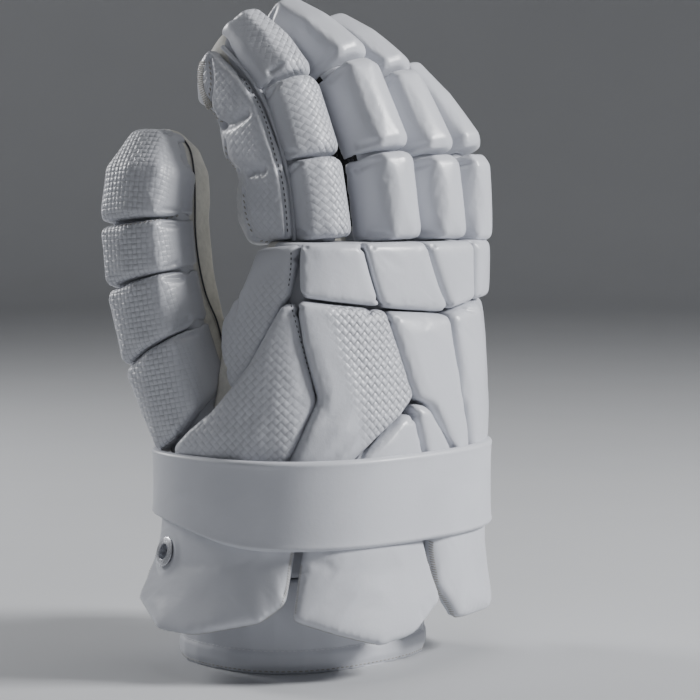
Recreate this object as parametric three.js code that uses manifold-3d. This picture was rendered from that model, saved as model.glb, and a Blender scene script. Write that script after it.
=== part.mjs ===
// A lacrosse glove for the right hand, standing on its wristband with the fingers up.
// Millimetres, +Z up. The back of the hand faces -Y, the palm +Y, the thumb side -X.
// The origin is the middle of the wrist opening, at the wristband's lower edge.
import * as THREE from "three";
import { mergeVertices } from "three/addons/utils/BufferGeometryUtils.js";
import Module from "manifold-3d";

const wasm = await Module();
wasm.setup();

// Driving dimensions
const clearance = 0.3; // between touching pieces
const wall = 2.2; // leather and lining of the hand and its finger stalls
const bodyBottom = 43; // height of the wrist seam, where the hand meets the wristband
const bodyTop = 190; // height of the finger roots
const palmWidth = 120; // across the hand at the finger roots
const palmDepth = 96; // back to palm at the wrist seam
const knuckleFall = 0.02; // how far the finger roots drop towards the little finger, per mm
const backPadHeight = 12; // foam pads on the back of the hand
const knucklePadHeight = 11;
const thumbBaseHeight = 9;
const webPadHeight = 7;
const groove = 1.6; // width of the sewn channel between neighbouring pads
const fingerPadHeight = 12; // foam over the back of a finger
const padBevel = 1.7; // width of the slope round a pad's top
const padShoulder = 0.8; // share of a pad's height at which that slope starts
const padDepth = -4; // pads are made this far into what they sit on, and then cut by its skin
const fingerPadSide = 0.16; // share of that height by which a finger pad is wider each side
const fingerPadAngle = 88; // how far a finger pad reaches round to each side
const padStart = 0.4; // from a finger's root to its first pad
const stallStart = -6; // finger stalls reach this far into the hand
const thumbStart = 6; // the thumb's stall starts this far along the thumb
const overrun = 2; // how far a solid that cuts another runs past its end
const thumbPadHeight = 10;
const thumbPadAngle = 80;
const guardHeight = 11; // quilted guard on the outer side of the index finger
const strapWidth = 40; // height of the cuff strap over the back of the hand
const strapTaper = 10; // how much narrower it is round the palm side
const strapThickness = 3.2;
const palmEase = 3; // room between the strap and the palm
const palmFrom = 118; // angle round the hand at which the back pads end, and
const palmBlend = 45; // over how many degrees the strap then draws in to the palm
const strapGuide = 0.75; // share of the strap's height at which it takes the hand's section
const strapTop = 98; // height of its upper edge
const flapThickness = 6.5;
const flapBottom = 16; // height of the lowest flap edge
const flapTuck = 20; // how far they reach up under the strap
const bandWall = 2.4; // wristband
const bandRim = 9; // height of its stitched lower rim
const eyeletHole = 3.6; // radius of the eyelet's hole
const eyeletRim = 7; // radius of its flange
const eyeletWall = 1; // metal
const strapFoot = strapTop - strapWidth;
const flapTop = strapFoot + flapTuck;
const panelFoot = flapTop + 3 * clearance; // lower ends of the back pads, under the strap

// Sections of the hand from the wrist seam (0) to the finger roots (1). right and back place the
// section's centre, wide and deep are its half sizes, as shares of palmWidth and palmDepth.
const bodySections = [
  { at: 0, right: 0.0, back: 0.0, wide: 0.47, deep: 0.48, turn: 0 },
  { at: 0.3, right: 0.06, back: 0.05, wide: 0.55, deep: 0.51, turn: 2 },
  { at: 0.55, right: 0.11, back: 0.1, wide: 0.54, deep: 0.42, turn: 2 },
  { at: 0.8, right: 0.15, back: 0.15, wide: 0.53, deep: 0.31, turn: 2 },
  { at: 1, right: 0.2, back: 0.2, wide: 0.48, deep: 0.235, turn: 2 },
];
const bodySquareness = 2.6;

// Fingers. right and back place the root, as shares of palmWidth and palmDepth; turn swings the
// back of the finger towards the little finger; each segment has a length, a flex and a lean.
const fingers = [
  {
    name: "index",
    right: -0.1,
    back: 0.125,
    turn: -4,
    wide: 12.5,
    deep: 14,
    segments: [
      { length: 34, flex: 10, lean: -2 },
      { length: 33, flex: 23, lean: -3 },
      { length: 38, flex: 43, lean: -7 },
    ],
  },
  {
    name: "middle",
    right: 0.154,
    back: 0.249,
    turn: 10,
    wide: 11.8,
    deep: 13.5,
    segments: [
      { length: 37, flex: 8, lean: 0 },
      { length: 38, flex: 26, lean: 0 },
      { length: 43, flex: 56, lean: 0 },
    ],
  },
  {
    name: "ring",
    right: 0.381,
    back: 0.279,
    turn: 15,
    wide: 11.5,
    deep: 13,
    segments: [
      { length: 35, flex: 8, lean: 2 },
      { length: 36, flex: 31, lean: 4 },
      { length: 42, flex: 56, lean: 6 },
    ],
  },
  {
    name: "little",
    right: 0.585,
    back: 0.218,
    turn: 27,
    wide: 10.5,
    deep: 12,
    segments: [
      { length: 35, flex: 3, lean: 4 },
      { length: 48, flex: 40, lean: 9 },
    ],
  },
];
const fingerSquareness = 3.4;
const jointBend = 9; // length over which a finger turns at a joint

const thumb = {
  right: -0.306,
  back: -0.046,
  up: 84,
  turn: -75,
  wide: 19,
  deep: 20,
  segments: [
    { length: 34, flex: -3, lean: -30 },
    { length: 32, flex: -3, lean: -22 },
    { length: 30, flex: -1, lean: -14 },
    { length: 29, flex: 3, lean: -8 },
    { length: 40, flex: 12, lean: -1 },
  ],
};

// Pads on the back of the hand. A corner is [angle round the hand, share of the height from
// panelFoot to bodyTop]. Each side runs from left to right, or from low to high.
const backPads = [
  {
    name: "knuckle_index_pad",
    height: knucklePadHeight,
    low: [[-53, 0.8], [-19, 0.76]],
    high: [[-61.4, 0.996], [-31.4, 0.996]],
  },
  {
    name: "knuckle_middle_pad",
    height: knucklePadHeight,
    low: [[-17.2, 0.755], [16.6, 0.725]],
    high: [[-29.8, 0.996], [1.5, 0.996]],
  },
  {
    name: "knuckle_ring_pad",
    height: knucklePadHeight,
    low: [[18.4, 0.735], [33, 0.765]],
    high: [[3.2, 0.996], [31.6, 0.996]],
  },
  {
    name: "knuckle_little_pad",
    height: knucklePadHeight,
    low: [[34.8, 0.765], [74, 0.78]],
    high: [[33.4, 0.996], [76, 0.996]],
  },
  {
    name: "index_panel",
    height: backPadHeight,
    low: [[-56.3, 0], [-43.5, 0]],
    high: [[-54, 0.78], [-16.6, 0.735]],
    left: [[-56.3, 0], [-42.6, 0.4], [-54, 0.78]],
    right: [[-43.5, 0], [-10.6, 0.325], [-4.2, 0.39], [-16.6, 0.735]],
  },
  {
    name: "middle_panel",
    height: backPadHeight,
    low: [[26.5, 0], [29.4, 0]],
    high: [[-14.8, 0.73], [16.2, 0.705]],
    left: [[26.5, 0], [18.7, 0.133], [4.4, 0.35], [-2.6, 0.39], [-14.8, 0.73]],
    right: [[29.4, 0], [27, 0.136], [23, 0.35], [16.2, 0.705]],
  },
  {
    name: "little_panel",
    height: backPadHeight,
    low: [[31, 0], [84, 0]],
    high: [[18, 0.71], [33.5, 0.745], [73, 0.755]],
    left: [[31, 0], [28.6, 0.136], [24.6, 0.35], [18, 0.71]],
    right: [[84, 0], [80, 0.4], [73, 0.755]],
  },
  {
    name: "wedge_left_pad",
    height: backPadHeight,
    low: [[-41.6, 0], [5.6, 0]],
    high: [[-8.4, 0.315], [-5, 0.315]],
    left: [[-41.6, 0], [-29, 0.125], [-8.4, 0.315]],
    right: [[5.6, 0], [1.4, 0.125], [-5, 0.315]],
  },
  {
    name: "wedge_right_pad",
    height: backPadHeight,
    low: [[7.4, 0], [24.8, 0]],
    high: [[-3.4, 0.355], [2.6, 0.345]],
    left: [[7.4, 0], [3, 0.125], [-3.4, 0.355]],
    right: [[24.8, 0], [17.2, 0.13], [2.6, 0.345]],
  },
  {
    name: "thumb_base_panel",
    height: thumbBaseHeight,
    rise: 1.5,
    low: [[-118, 0], [-57.8, 0]],
    high: [[-61.6, 0.765], [-55.6, 0.765]],
    left: [[-118, 0], [-106, 0.2], [-90, 0.35], [-74.5, 0.53], [-61.6, 0.765]],
    right: [[-57.8, 0], [-44, 0.39], [-55.6, 0.765]],
  },
  {
    name: "web_panel",
    height: webPadHeight,
    low: [[-90, 0.43], [-85, 0.43]],
    high: [[-106, 0.975], [-64.4, 0.996]],
    left: [[-90, 0.43], [-104, 0.57], [-112, 0.68], [-102, 0.82], [-106, 0.975]],
    right: [[-85, 0.43], [-77, 0.53], [-68, 0.67], [-61.4, 0.81], [-64.4, 0.996]],
  },
];

// Pads on the thumb, from its root: the length along the thumb at which each starts and ends, on
// its left and its right side, as shares of the thumb's length. The first one also bulges down
// between its two sides.
const thumbPads = [
  { name: "thumb_root_pad", left: [0.145, 0.357], right: [0.255, 0.442], middleFrom: 0.165 },
  { name: "thumb_low_pad", left: [0.369, 0.565], right: [0.454, 0.6] },
  { name: "thumb_high_pad", left: [0.577, 0.735], right: [0.612, 0.738] },
  { name: "thumb_tip_pad", left: [0.747, 0.985], right: [0.75, 0.985] },
];

// Left edge of the guard on the index finger, with three lobes, and its right edge along the
// finger pads: [angle, share of the finger's length].
const guardLeft = [-124, -142, -140, -122, -142, -142, -122, -134, -104];
const guardRight = [-58, -56, -55.5, -57.5, -60, -63, -68, -76, -84];
const indexPadLeft = [-52, -54, -62];

// The cuff's flaps. A corner is [angle round the cuff, share of the height from flapBottom to
// flapTop]; flare is how far, in mm, the flap stands out at its lowest edge.
const flaps = [
  {
    name: "flap_thumb",
    flare: 15,
    low: [[-128, 0.2], [-103, 0.06], [-87, 0.065], [-60, 0.19], [-51.8, 0.32]],
    high: [[-118, 1], [-47, 1]],
  },
  {
    name: "flap_back",
    flare: 12,
    low: [[-49.2, 0.2], [-36, 0.1], [-22, 0], [-10, 0.04], [5, 0.24]],
    high: [[-42.5, 1], [-1, 1]],
  },
  {
    name: "flap_little",
    flare: 4,
    low: [[7.5, 0.34], [17, 0.06], [40, 0.04], [62, 0.08], [78, 0.2]],
    high: [[4.5, 1], [74, 1]],
  },
];
const eyeletSpot = { flap: 0, angle: -111, at: 0.57 };

// Small tools
const rad = THREE.MathUtils.degToRad;
const mix = (a, b, t) => a + (b - a) * t;
const clamp01 = (t) => Math.min(1, Math.max(0, t));
const smooth = (t) => clamp01(t) ** 2 * (3 - 2 * clamp01(t));

// A column of a table of sections, read smoothly at any place between its rows.
function read(table, column, at) {
  const t = Math.min(table.at(-1).at, Math.max(table[0].at, at));
  const last = table.length - 2;
  const i = Math.min(last, Math.max(0, table.findIndex((row) => row.at > t) - 1));
  const k = table.at(-1).at <= t ? last : i;
  const slope = (n) => {
    const a = table[Math.max(0, n - 1)];
    const b = table[Math.min(table.length - 1, n + 1)];
    return (b[column] - a[column]) / (b.at - a.at);
  };
  const [a, b] = [table[k], table[k + 1]];
  const span = b.at - a.at;
  const s = (t - a.at) / span;
  return (
    a[column] * (1 + 2 * s) * (1 - s) ** 2 +
    b[column] * s * s * (3 - 2 * s) +
    span * s * (1 - s) * (slope(k) * (1 - s) - slope(k + 1) * s)
  );
}

// The rim of a rounded rectangle of half sizes 1, at an angle from its +Y side: [across, out].
function rim(angle, squareness) {
  const s = Math.sin(rad(angle));
  const c = Math.cos(rad(angle));
  const k = (Math.abs(s) ** squareness + Math.abs(c) ** squareness) ** (-1 / squareness);
  return [s * k, c * k];
}

// Guide surfaces

// The hand: angle 0 is the middle of its back, 90 the little finger's side, -90 the thumb's.
function handAt(angle, up, grow) {
  const at = (up - bodyBottom) / (bodyTop - bodyBottom);
  const [s, c] = rim(angle, bodySquareness);
  const across = s * (read(bodySections, "wide", at) * palmWidth + grow);
  const out = c * (read(bodySections, "deep", at) * palmDepth + grow);
  const turn = rad(read(bodySections, "turn", at));
  const x = read(bodySections, "right", at) * palmWidth + across * Math.cos(turn) + out * Math.sin(turn);
  const y = -read(bodySections, "back", at) * palmDepth + across * Math.sin(turn) - out * Math.cos(turn);
  return new THREE.Vector3(x, y, up - knuckleFall * x * smooth(at));
}

// The middle line of a finger or the thumb, with its directions across, out (its back) and along.
function spineOf(digit, root) {
  const across0 = new THREE.Vector3(Math.cos(rad(digit.turn)), Math.sin(rad(digit.turn)), 0);
  const out0 = new THREE.Vector3(Math.sin(rad(digit.turn)), -Math.cos(rad(digit.turn)), 0);
  const up0 = new THREE.Vector3(0, 0, 1);
  const ends = [];
  digit.segments.reduce((sum, segment) => (ends.push(sum + segment.length), sum + segment.length), 0);
  const angleAt = (s, key) =>
    digit.segments.reduce(
      (sum, segment, i) =>
        i === 0
          ? segment[key]
          : sum + (segment[key] - digit.segments[i - 1][key]) * smooth((s - ends[i - 1]) / jointBend + 0.5),
      0,
    );
  const frameAt = (s) => {
    const flex = rad(angleAt(s, "flex"));
    const lean = rad(angleAt(s, "lean"));
    const along = up0
      .clone()
      .multiplyScalar(Math.cos(flex) * Math.cos(lean))
      .addScaledVector(out0, -Math.sin(flex) * Math.cos(lean))
      .addScaledVector(across0, Math.sin(lean));
    const out = out0.clone().multiplyScalar(Math.cos(flex)).addScaledVector(up0, Math.sin(flex));
    return { along, out, across: new THREE.Vector3().crossVectors(along, out) };
  };
  const step = 1;
  const points = [root.clone()];
  const length = ends.at(-1);
  for (let s = 0; s < length + 20; s += step)
    points.push(points.at(-1).clone().addScaledVector(frameAt(s + step / 2).along, step));
  const at = (s) => {
    const frame = frameAt(s);
    if (s <= 0) return { ...frame, centre: root.clone().addScaledVector(frame.along, s) };
    const i = Math.min(points.length - 2, Math.floor(s / step));
    return { ...frame, centre: points[i].clone().lerp(points[i + 1], s / step - i) };
  };
  return { at, length, ends };
}

// The skin of a finger: angle 0 is its back, -90 its side nearer the thumb. The pad grows out of
// the back more than out of the sides. Past the last joint the section rounds off to the tip.
function digitAt(digit, angle, s, grow, sideGrow) {
  const { centre, across, out } = digit.spine.at(s);
  const left = Math.max(0, (digit.spine.length - s) / digit.tipRound);
  const power = digit.tipPower;
  const narrow = left < 1 ? Math.max(0.05, 1 - (1 - left) ** power) ** (1 / power) : 1;
  const [a, o] = rim(angle, fingerSquareness);
  return centre
    .clone()
    .addScaledVector(across, a * (digit.wide * narrow + sideGrow))
    .addScaledVector(out, o * (digit.deep * narrow + grow));
}

// Solids

// A closed mesh from rows of points, each row a closed ring, with its two ends capped.
function loft(rings) {
  const positions = [];
  const index = [];
  const around = rings[0].length;
  for (const ring of rings) for (const p of ring) positions.push(p.x, p.y, p.z);
  for (let r = 0; r + 1 < rings.length; r++)
    for (let i = 0; i < around; i++) {
      const j = (i + 1) % around;
      const [a, b, c, d] = [r * around + i, r * around + j, (r + 1) * around + j, (r + 1) * around + i];
      index.push(a, b, c, a, c, d);
    }
  for (const [r, flip] of [
    [0, true],
    [rings.length - 1, false],
  ]) {
    const middle = new THREE.Vector3();
    for (const p of rings[r]) middle.addScaledVector(p, 1 / around);
    const m = positions.length / 3;
    positions.push(middle.x, middle.y, middle.z);
    for (let i = 0; i < around; i++) {
      const j = (i + 1) % around;
      const [a, b] = flip ? [r * around + j, r * around + i] : [r * around + i, r * around + j];
      index.push(a, b, m);
    }
  }
  return closed(positions, index);
}

// A ring that closes on itself: rows of points, each row a closed profile, the last joined to the first.
function hoop(profiles) {
  const positions = [];
  const index = [];
  const across = profiles[0].length;
  for (const profile of profiles) for (const p of profile) positions.push(p.x, p.y, p.z);
  for (let r = 0; r < profiles.length; r++)
    for (let i = 0; i < across; i++) {
      const n = (r + 1) % profiles.length;
      const j = (i + 1) % across;
      const [a, b, c, d] = [r * across + i, r * across + j, n * across + j, n * across + i];
      index.push(a, b, c, a, c, d);
    }
  return closed(positions, index);
}

// Makes a geometry whose faces point outwards.
function closed(positions, index) {
  const geometry = new THREE.BufferGeometry();
  geometry.setAttribute("position", new THREE.Float32BufferAttribute(positions, 3));
  geometry.setIndex(index);
  const [a, b, c] = [new THREE.Vector3(), new THREE.Vector3(), new THREE.Vector3()];
  let volume = 0;
  for (let i = 0; i < index.length; i += 3) {
    a.fromArray(positions, index[i] * 3);
    b.fromArray(positions, index[i + 1] * 3);
    c.fromArray(positions, index[i + 2] * 3);
    volume += a.dot(b.cross(c));
  }
  if (volume < 0)
    for (let i = 0; i < index.length; i += 3) [index[i + 1], index[i + 2]] = [index[i + 2], index[i + 1]];
  geometry.setIndex(index);
  return geometry;
}

// A point on a side of an outline, whose corners are evenly spread from 0 to 1.
function alongSide(side, t) {
  const k = Math.min(side.length - 2, Math.floor(t * (side.length - 1)));
  const s = t * (side.length - 1) - k;
  return [mix(side[k][0], side[k + 1][0], s), mix(side[k][1], side[k + 1][1], s)];
}

// A pad on a guide surface. Its outline has four sides, each a row of points on the surface:
// low and high run from left to right, left and right from low to high.
function pad(surface, outline, { foot, depth, height, lift = () => 1, columns = 3, rows = 3 }) {
  const { low, high, left, right } = outline;
  const place = (s, t) => {
    const [l, h, a, b] = [alongSide(low, s), alongSide(high, s), alongSide(left, t), alongSide(right, t)];
    const corner = (k) => mix(mix(low[0][k], low.at(-1)[k], s), mix(high[0][k], high.at(-1)[k], s), t);
    return [0, 1].map((k) => (1 - t) * l[k] + t * h[k] + (1 - s) * a[k] + s * b[k] - corner(k));
  };
  const point = (s, t, h) => surface(...place(s, t), h);
  const width = point(0, 0.5, height).distanceTo(point(0.5, 0.5, height)) * 2;
  const tall = point(0.5, 0, height).distanceTo(point(0.5, 0.5, height)) * 2;
  const marks = (size, breaks, count) => {
    const inner = Math.min(padBevel / size, 0.3);
    const insets = [
      [0, padShoulder],
      [inner, 1],
    ];
    const inside = (i) => mix(inner, 1 - inner, (i + 1) / (count + 1));
    const middle = Array.from({ length: count }, (_, i) => [inside(i), 1]);
    const list = [...insets, ...middle, ...insets.map(([t, share]) => [1 - t, share]).reverse()];
    for (const b of breaks) {
      const off = (m) => Math.abs(m[0] - b);
      const near = middle.reduce((best, m) => (off(m) < off(best) ? m : best), middle[0]);
      if (near) near[0] = b;
    }
    return list;
  };
  const breaksOf = (a, b) =>
    [...new Set([a, b].flatMap((side) => side.slice(1, -1).map((_, i) => (i + 1) / (side.length - 1))))];
  const across = marks(width, breaksOf(low, high), columns);
  const up = marks(tall, breaksOf(left, right), rows);
  const positions = [];
  const index = [];
  const top = [];
  const under = [];
  up.forEach(([t, shareT]) =>
    across.forEach(([s, shareS]) => {
      top.push(positions.length / 3);
      positions.push(...point(s, t, mix(foot, height * lift(s, t), Math.min(shareS, shareT))));
      under.push(positions.length / 3);
      positions.push(...point(s, t, depth));
    }),
  );
  const n = across.length;
  for (let j = 0; j + 1 < up.length; j++)
    for (let i = 0; i + 1 < n; i++) {
      const cell = [j * n + i, j * n + i + 1, (j + 1) * n + i + 1, (j + 1) * n + i];
      const [a, b, c, d] = cell.map((k) => top[k]);
      const [e, f, g, h] = cell.map((k) => under[k]);
      const split = (i < n / 2) === (j < up.length / 2);
      if (split) index.push(a, b, c, a, c, d, e, g, f, e, h, g);
      else index.push(a, b, d, b, c, d, e, h, f, f, h, g);
    }
  const m = up.length;
  const border = [];
  for (let i = 0; i < n - 1; i++) border.push(i);
  for (let j = 0; j < m - 1; j++) border.push(j * n + n - 1);
  for (let i = n - 1; i > 0; i--) border.push((m - 1) * n + i);
  for (let j = m - 1; j > 0; j--) border.push(j * n);
  border.forEach((k, i) => {
    const next = border[(i + 1) % border.length];
    index.push(under[k], under[next], top[next], under[k], top[next], top[k]);
  });
  return closed(positions, index);
}

// Solid of a geometry, and back again without the crumbs that a cut can leave
function solidOf(geometry) {
  const bare = geometry.clone();
  bare.deleteAttribute("normal");
  bare.deleteAttribute("uv");
  const merged = mergeVertices(bare, 1e-4);
  return new wasm.Manifold(
    new wasm.Mesh({
      numProp: 3,
      vertProperties: merged.attributes.position.array,
      triVerts: new Uint32Array(merged.index.array),
    }),
  );
}

function geometryOf(solid) {
  const mesh = solid.decompose().reduce((a, b) => (a.volume() > b.volume() ? a : b)).getMesh();
  const geometry = new THREE.BufferGeometry();
  geometry.setAttribute("position", new THREE.BufferAttribute(new Float32Array(mesh.vertProperties), 3));
  geometry.setIndex(new THREE.BufferAttribute(new Uint32Array(mesh.triVerts), 1));
  return geometry;
}

// Materials
const cloth = (color, roughness) => new THREE.MeshStandardMaterial({ color, roughness, metalness: 0 });
const shell = cloth(0xdfe0e8, 0.45);
const woven = cloth(0xd6d8e2, 0.5);
const suede = cloth(0xd9d7cf, 0.9);
const mesh = cloth(0x33343a, 0.8);
const knit = cloth(0xd9dae2, 0.8);
const plastic = cloth(0xb8bcc4, 0.3);

const glove = new THREE.Group();
function add(name, geometry, material) {
  const piece = new THREE.Mesh(geometry, material);
  piece.name = name;
  glove.add(piece);
}

// Finger stalls and hand
for (const finger of fingers) {
  finger.tipRound = finger.deep;
  finger.tipPower = 3;
  const root = new THREE.Vector3(finger.right * palmWidth, -finger.back * palmDepth, 0);
  root.z = bodyTop - knuckleFall * root.x;
  finger.spine = spineOf(finger, root);
}
thumb.tipRound = 1.5 * thumb.deep;
thumb.tipPower = 2;
thumb.spine = spineOf(thumb, new THREE.Vector3(thumb.right * palmWidth, -thumb.back * palmDepth, thumb.up));

const stallSides = 12;
const innerSides = 8;
function digitRings(digit, from, grow, sides = stallSides) {
  const { length, ends } = digit.spine;
  const stops = [from];
  for (const end of ends.slice(0, -1)) stops.push(end - jointBend / 2, end + jointBend / 2);
  const dome = length - digit.tipRound;
  const inset = Math.min(0, grow);
  for (const share of [0, 0.4, 0.75]) stops.push(dome + digit.tipRound * share);
  stops.push(length + inset - 0.4);
  const kept = stops.filter((s, i) => i === 0 || s > stops[0]);
  return kept.map((s) => {
    const place = s > dome ? s + inset : s;
    return Array.from({ length: sides }, (_, i) => digitAt(digit, (360 * i) / sides, place, grow, grow));
  });
}
const handSides = 28;
const handRing = (up, grow) =>
  Array.from({ length: handSides }, (_, i) => handAt((360 * i) / handSides, up, grow));
const handLevels = [0, 0.2, 0.4, 0.6, 0.8, 1].map((t) => mix(bodyBottom, bodyTop, t));

const handOuter = solidOf(loft(handLevels.map((up) => handRing(up, 0))));
const overAll = (up, i) => (i === 0 ? up - 1 : up + clearance);
const handClear = solidOf(loft(handLevels.map((up, i) => handRing(overAll(up, i), clearance))));
const within = (up, i) => (i === 0 ? up - 1 : Math.min(up, bodyTop - wall));
const handHollow = solidOf(loft(handLevels.map((up, i) => handRing(within(up, i), -wall))));
let hand = handOuter.subtract(handHollow);
for (const finger of fingers) {
  const room = loft(digitRings(finger, stallStart - overrun, -wall));
  hand = hand.subtract(solidOf(room));
}
hand = hand.subtract(solidOf(loft(digitRings(thumb, 0, -wall))));
add("hand_shell", geometryOf(hand), suede);

const skinOf = (digit) => solidOf(loft(digitRings(digit, stallStart - 5 * overrun, clearance)));
fingers.forEach((finger, i) => {
  let stall = solidOf(loft(digitRings(finger, stallStart, 0)))
    .subtract(solidOf(loft(digitRings(finger, stallStart - overrun, -wall, innerSides))))
    .subtract(handClear);
  if (i > 0) stall = stall.subtract(skinOf(fingers[i - 1]));
  add(finger.name + "_stall", geometryOf(stall), mesh);
});
const thumbStall = solidOf(loft(digitRings(thumb, thumbStart, 0)))
  .subtract(solidOf(loft(digitRings(thumb, thumbStart - 2 * overrun, -wall, innerSides))))
  .subtract(handClear);
add("thumb_stall", geometryOf(thumbStall), suede);

// The strap follows the hand's section under its top edge, over the pads. Round the palm, where
// there are no pads, it lies close to the hand.
const strapProfile = [
  { up: 0.01, out: 0 },
  { up: 0, out: 0.7 },
  { up: 0.04, out: 1.25 },
  { up: 0.12, out: 1 },
  { up: 0.88, out: 1 },
  { up: 0.96, out: 1.25 },
  { up: 1, out: 0.7 },
  { up: 0.99, out: 0 },
];
const strapSides = 36;

function strapSection(angle, out) {
  const turn = Math.abs(angle - 360 * Math.round(angle / 360));
  const over = mix(backPadHeight, palmEase, smooth((turn - palmFrom) / palmBlend));
  return handAt(angle, mix(strapFoot, strapTop, strapGuide), over + clearance + out);
}
function strapRing(grow) {
  const stations = Array.from({ length: strapSides }, (_, i) => (360 * i) / strapSides);
  return hoop(
    stations.map((angle) => {
      const foot = strapFoot + strapTaper * smooth((Math.min(angle, 360 - angle) - 60) / 60);
      return strapProfile.map(({ up, out }) => {
        const p = strapSection(angle, out === 0 ? -grow : out * strapThickness + grow);
        return p.setZ(mix(foot - grow, strapTop + grow, up));
      });
    }),
  );
}

// Pads on the fingers
function fingerPad(digit, from, to, leftAngle, grow = 0) {
  const surface = (a, s, h) => digitAt(digit, a, s, h, h * fingerPadSide + grow);
  const outline = {
    low: [[leftAngle, from], [fingerPadAngle, from]],
    high: [[leftAngle, to], [fingerPadAngle, to]],
    left: [[leftAngle, from], [leftAngle, to]],
    right: [[fingerPadAngle, from], [fingerPadAngle, to]],
  };
  const sizes = { foot: clearance, depth: padDepth, height: fingerPadHeight + grow, rows: 1 };
  return solidOf(pad(surface, outline, sizes));
}
const padNames = ["base", "mid", "tip"];
let lastFinger = null;
for (const finger of fingers) {
  let thisFinger = null;
  finger.segments.forEach((segment, i) => {
    const names = finger.segments.length === 2 ? ["base", "tip"] : padNames;
    const end = finger.spine.ends[i];
    const from = end - segment.length + groove / 2 + (i === 0 ? padStart : 0);
    const leftAngle = finger === fingers[0] ? indexPadLeft[i] : -fingerPadAngle;
    const material = finger === fingers[0] ? woven : shell;
    let block = fingerPad(finger, from, end - groove / 2, leftAngle).subtract(skinOf(finger));
    if (lastFinger) block = block.subtract(lastFinger);
    add(`${finger.name}_${names[i]}_pad`, geometryOf(block), material);
    const room = fingerPad(finger, from, end - groove / 2, leftAngle, clearance);
    thisFinger = thisFinger ? thisFinger.add(room) : room;
  });
  lastFinger = thisFinger;
}

// Pads on the thumb
function thumbBlock({ left, right, middleFrom }, grow = 0) {
  const { length } = thumb.spine;
  const [a, b] = [left[0] * length - grow, left[1] * length + grow];
  const [c, d] = [right[0] * length - grow, right[1] * length + grow];
  const m = middleFrom ? middleFrom * length - grow : mix(a, c, 0.5);
  const w = thumbPadAngle + 4 * grow;
  const outline = {
    low: [[-w, a], [0, m], [w, c]],
    high: [[-w, b], [w, d]],
    left: [[-w, a], [-w, b]],
    right: [[w, c], [w, d]],
  };
  const surface = (angle, s, h) => digitAt(thumb, angle, s, h, h * fingerPadSide);
  const sizes = { foot: clearance + grow, depth: padDepth, height: thumbPadHeight + grow, rows: 1 };
  return solidOf(pad(surface, outline, sizes));
}
const strapClear = solidOf(strapRing(clearance));
for (const row of thumbPads) {
  const block = thumbBlock(row).subtract(skinOf(thumb)).subtract(handClear).subtract(strapClear);
  add(row.name, geometryOf(block), woven);
}
const thumbRootClear = thumbBlock(thumbPads[0], 2 * clearance);

// Guard on the index finger
const index = fingers[0];
const guardSpan = index.spine.length - index.tipRound / 2;
const guardOutline = {
  left: guardLeft.map((angle, i) => [angle, mix(groove, guardSpan, i / (guardLeft.length - 1))]),
  right: guardRight.map((angle, i) => [angle, mix(groove, guardSpan, i / (guardRight.length - 1))]),
};
guardOutline.low = [guardOutline.left[0], guardOutline.right[0]];
guardOutline.high = [guardOutline.left.at(-1), guardOutline.right.at(-1)];
const lobes = (s, t) => mix(mix(0.62, 1, Math.abs(Math.sin(3 * Math.PI * t)) ** 0.5), 0.7, s * s);
const guardBlock = pad((a, s, h) => digitAt(index, a, s, h, h), guardOutline, {
  foot: clearance,
  depth: padDepth,
  height: guardHeight,
  lift: lobes,
  columns: 2,
  rows: 7,
});
add("index_guard", geometryOf(solidOf(guardBlock).subtract(skinOf(index)).subtract(handClear)), woven);

// Pads on the back of the hand
const backUp = (at) => mix(panelFoot, bodyTop, at);
const digitsClear = [thumb, ...fingers].map(skinOf);
for (const { name, height, rise = 0, low, high, left, right } of backPads) {
  const outline = {
    low,
    high,
    left: left ?? [low[0], high[0]],
    right: right ?? [low.at(-1), high.at(-1)],
  };
  const surface = (angle, at, h) => handAt(angle, backUp(at), h);
  const rows = Math.max(outline.left.length, outline.right.length);
  const lift = (s, t) => 1 + rise * (1 - s) * (1 - t) * smooth((t - 0.1) / 0.2);
  const sizes = { foot: clearance, depth: padDepth, height, lift, columns: 2, rows };
  let block = solidOf(pad(surface, outline, sizes)).subtract(handClear).subtract(strapClear);
  for (const skin of digitsClear) block = block.subtract(skin);
  if (rise > 0) block = block.subtract(thumbRootClear);
  add(name, geometryOf(block), name === "index_panel" || name === "thumb_base_panel" ? woven : shell);
}

// Cuff
add("cuff_strap", strapRing(0), shell);

// The cuff's flaps hang inside the strap and flare out below it
function cuffAt(angle, up, grow, flare) {
  const drop = Math.max(0, (strapFoot - up) / (strapFoot - flapBottom));
  return strapSection(angle, grow - clearance + flare * drop ** 1.3).setZ(up);
}
for (const { name, flare, low, high } of flaps) {
  const outline = { low, high, left: [low[0], high[0]], right: [low.at(-1), high.at(-1)] };
  const surface = (angle, at, h) => cuffAt(angle, mix(flapBottom, flapTop, at), h, flare);
  const sizes = { foot: -flapThickness, depth: -flapThickness, height: 0, columns: 4, rows: 3 };
  let geometry = geometryOf(solidOf(pad(surface, outline, sizes)).subtract(strapClear));
  if (name === flaps[eyeletSpot.flap].name) {
    const seat = eyeletFrame();
    const hole = new THREE.CylinderGeometry(1, 1, 4 * flapThickness, 16);
    hole.scale(eyeletHole + eyeletWall + clearance, 1, eyeletHole + eyeletWall + clearance);
    geometry = geometryOf(solidOf(geometry).subtract(solidOf(hole.applyMatrix4(seat))));
  }
  add(name, geometry, shell);
}

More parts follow.
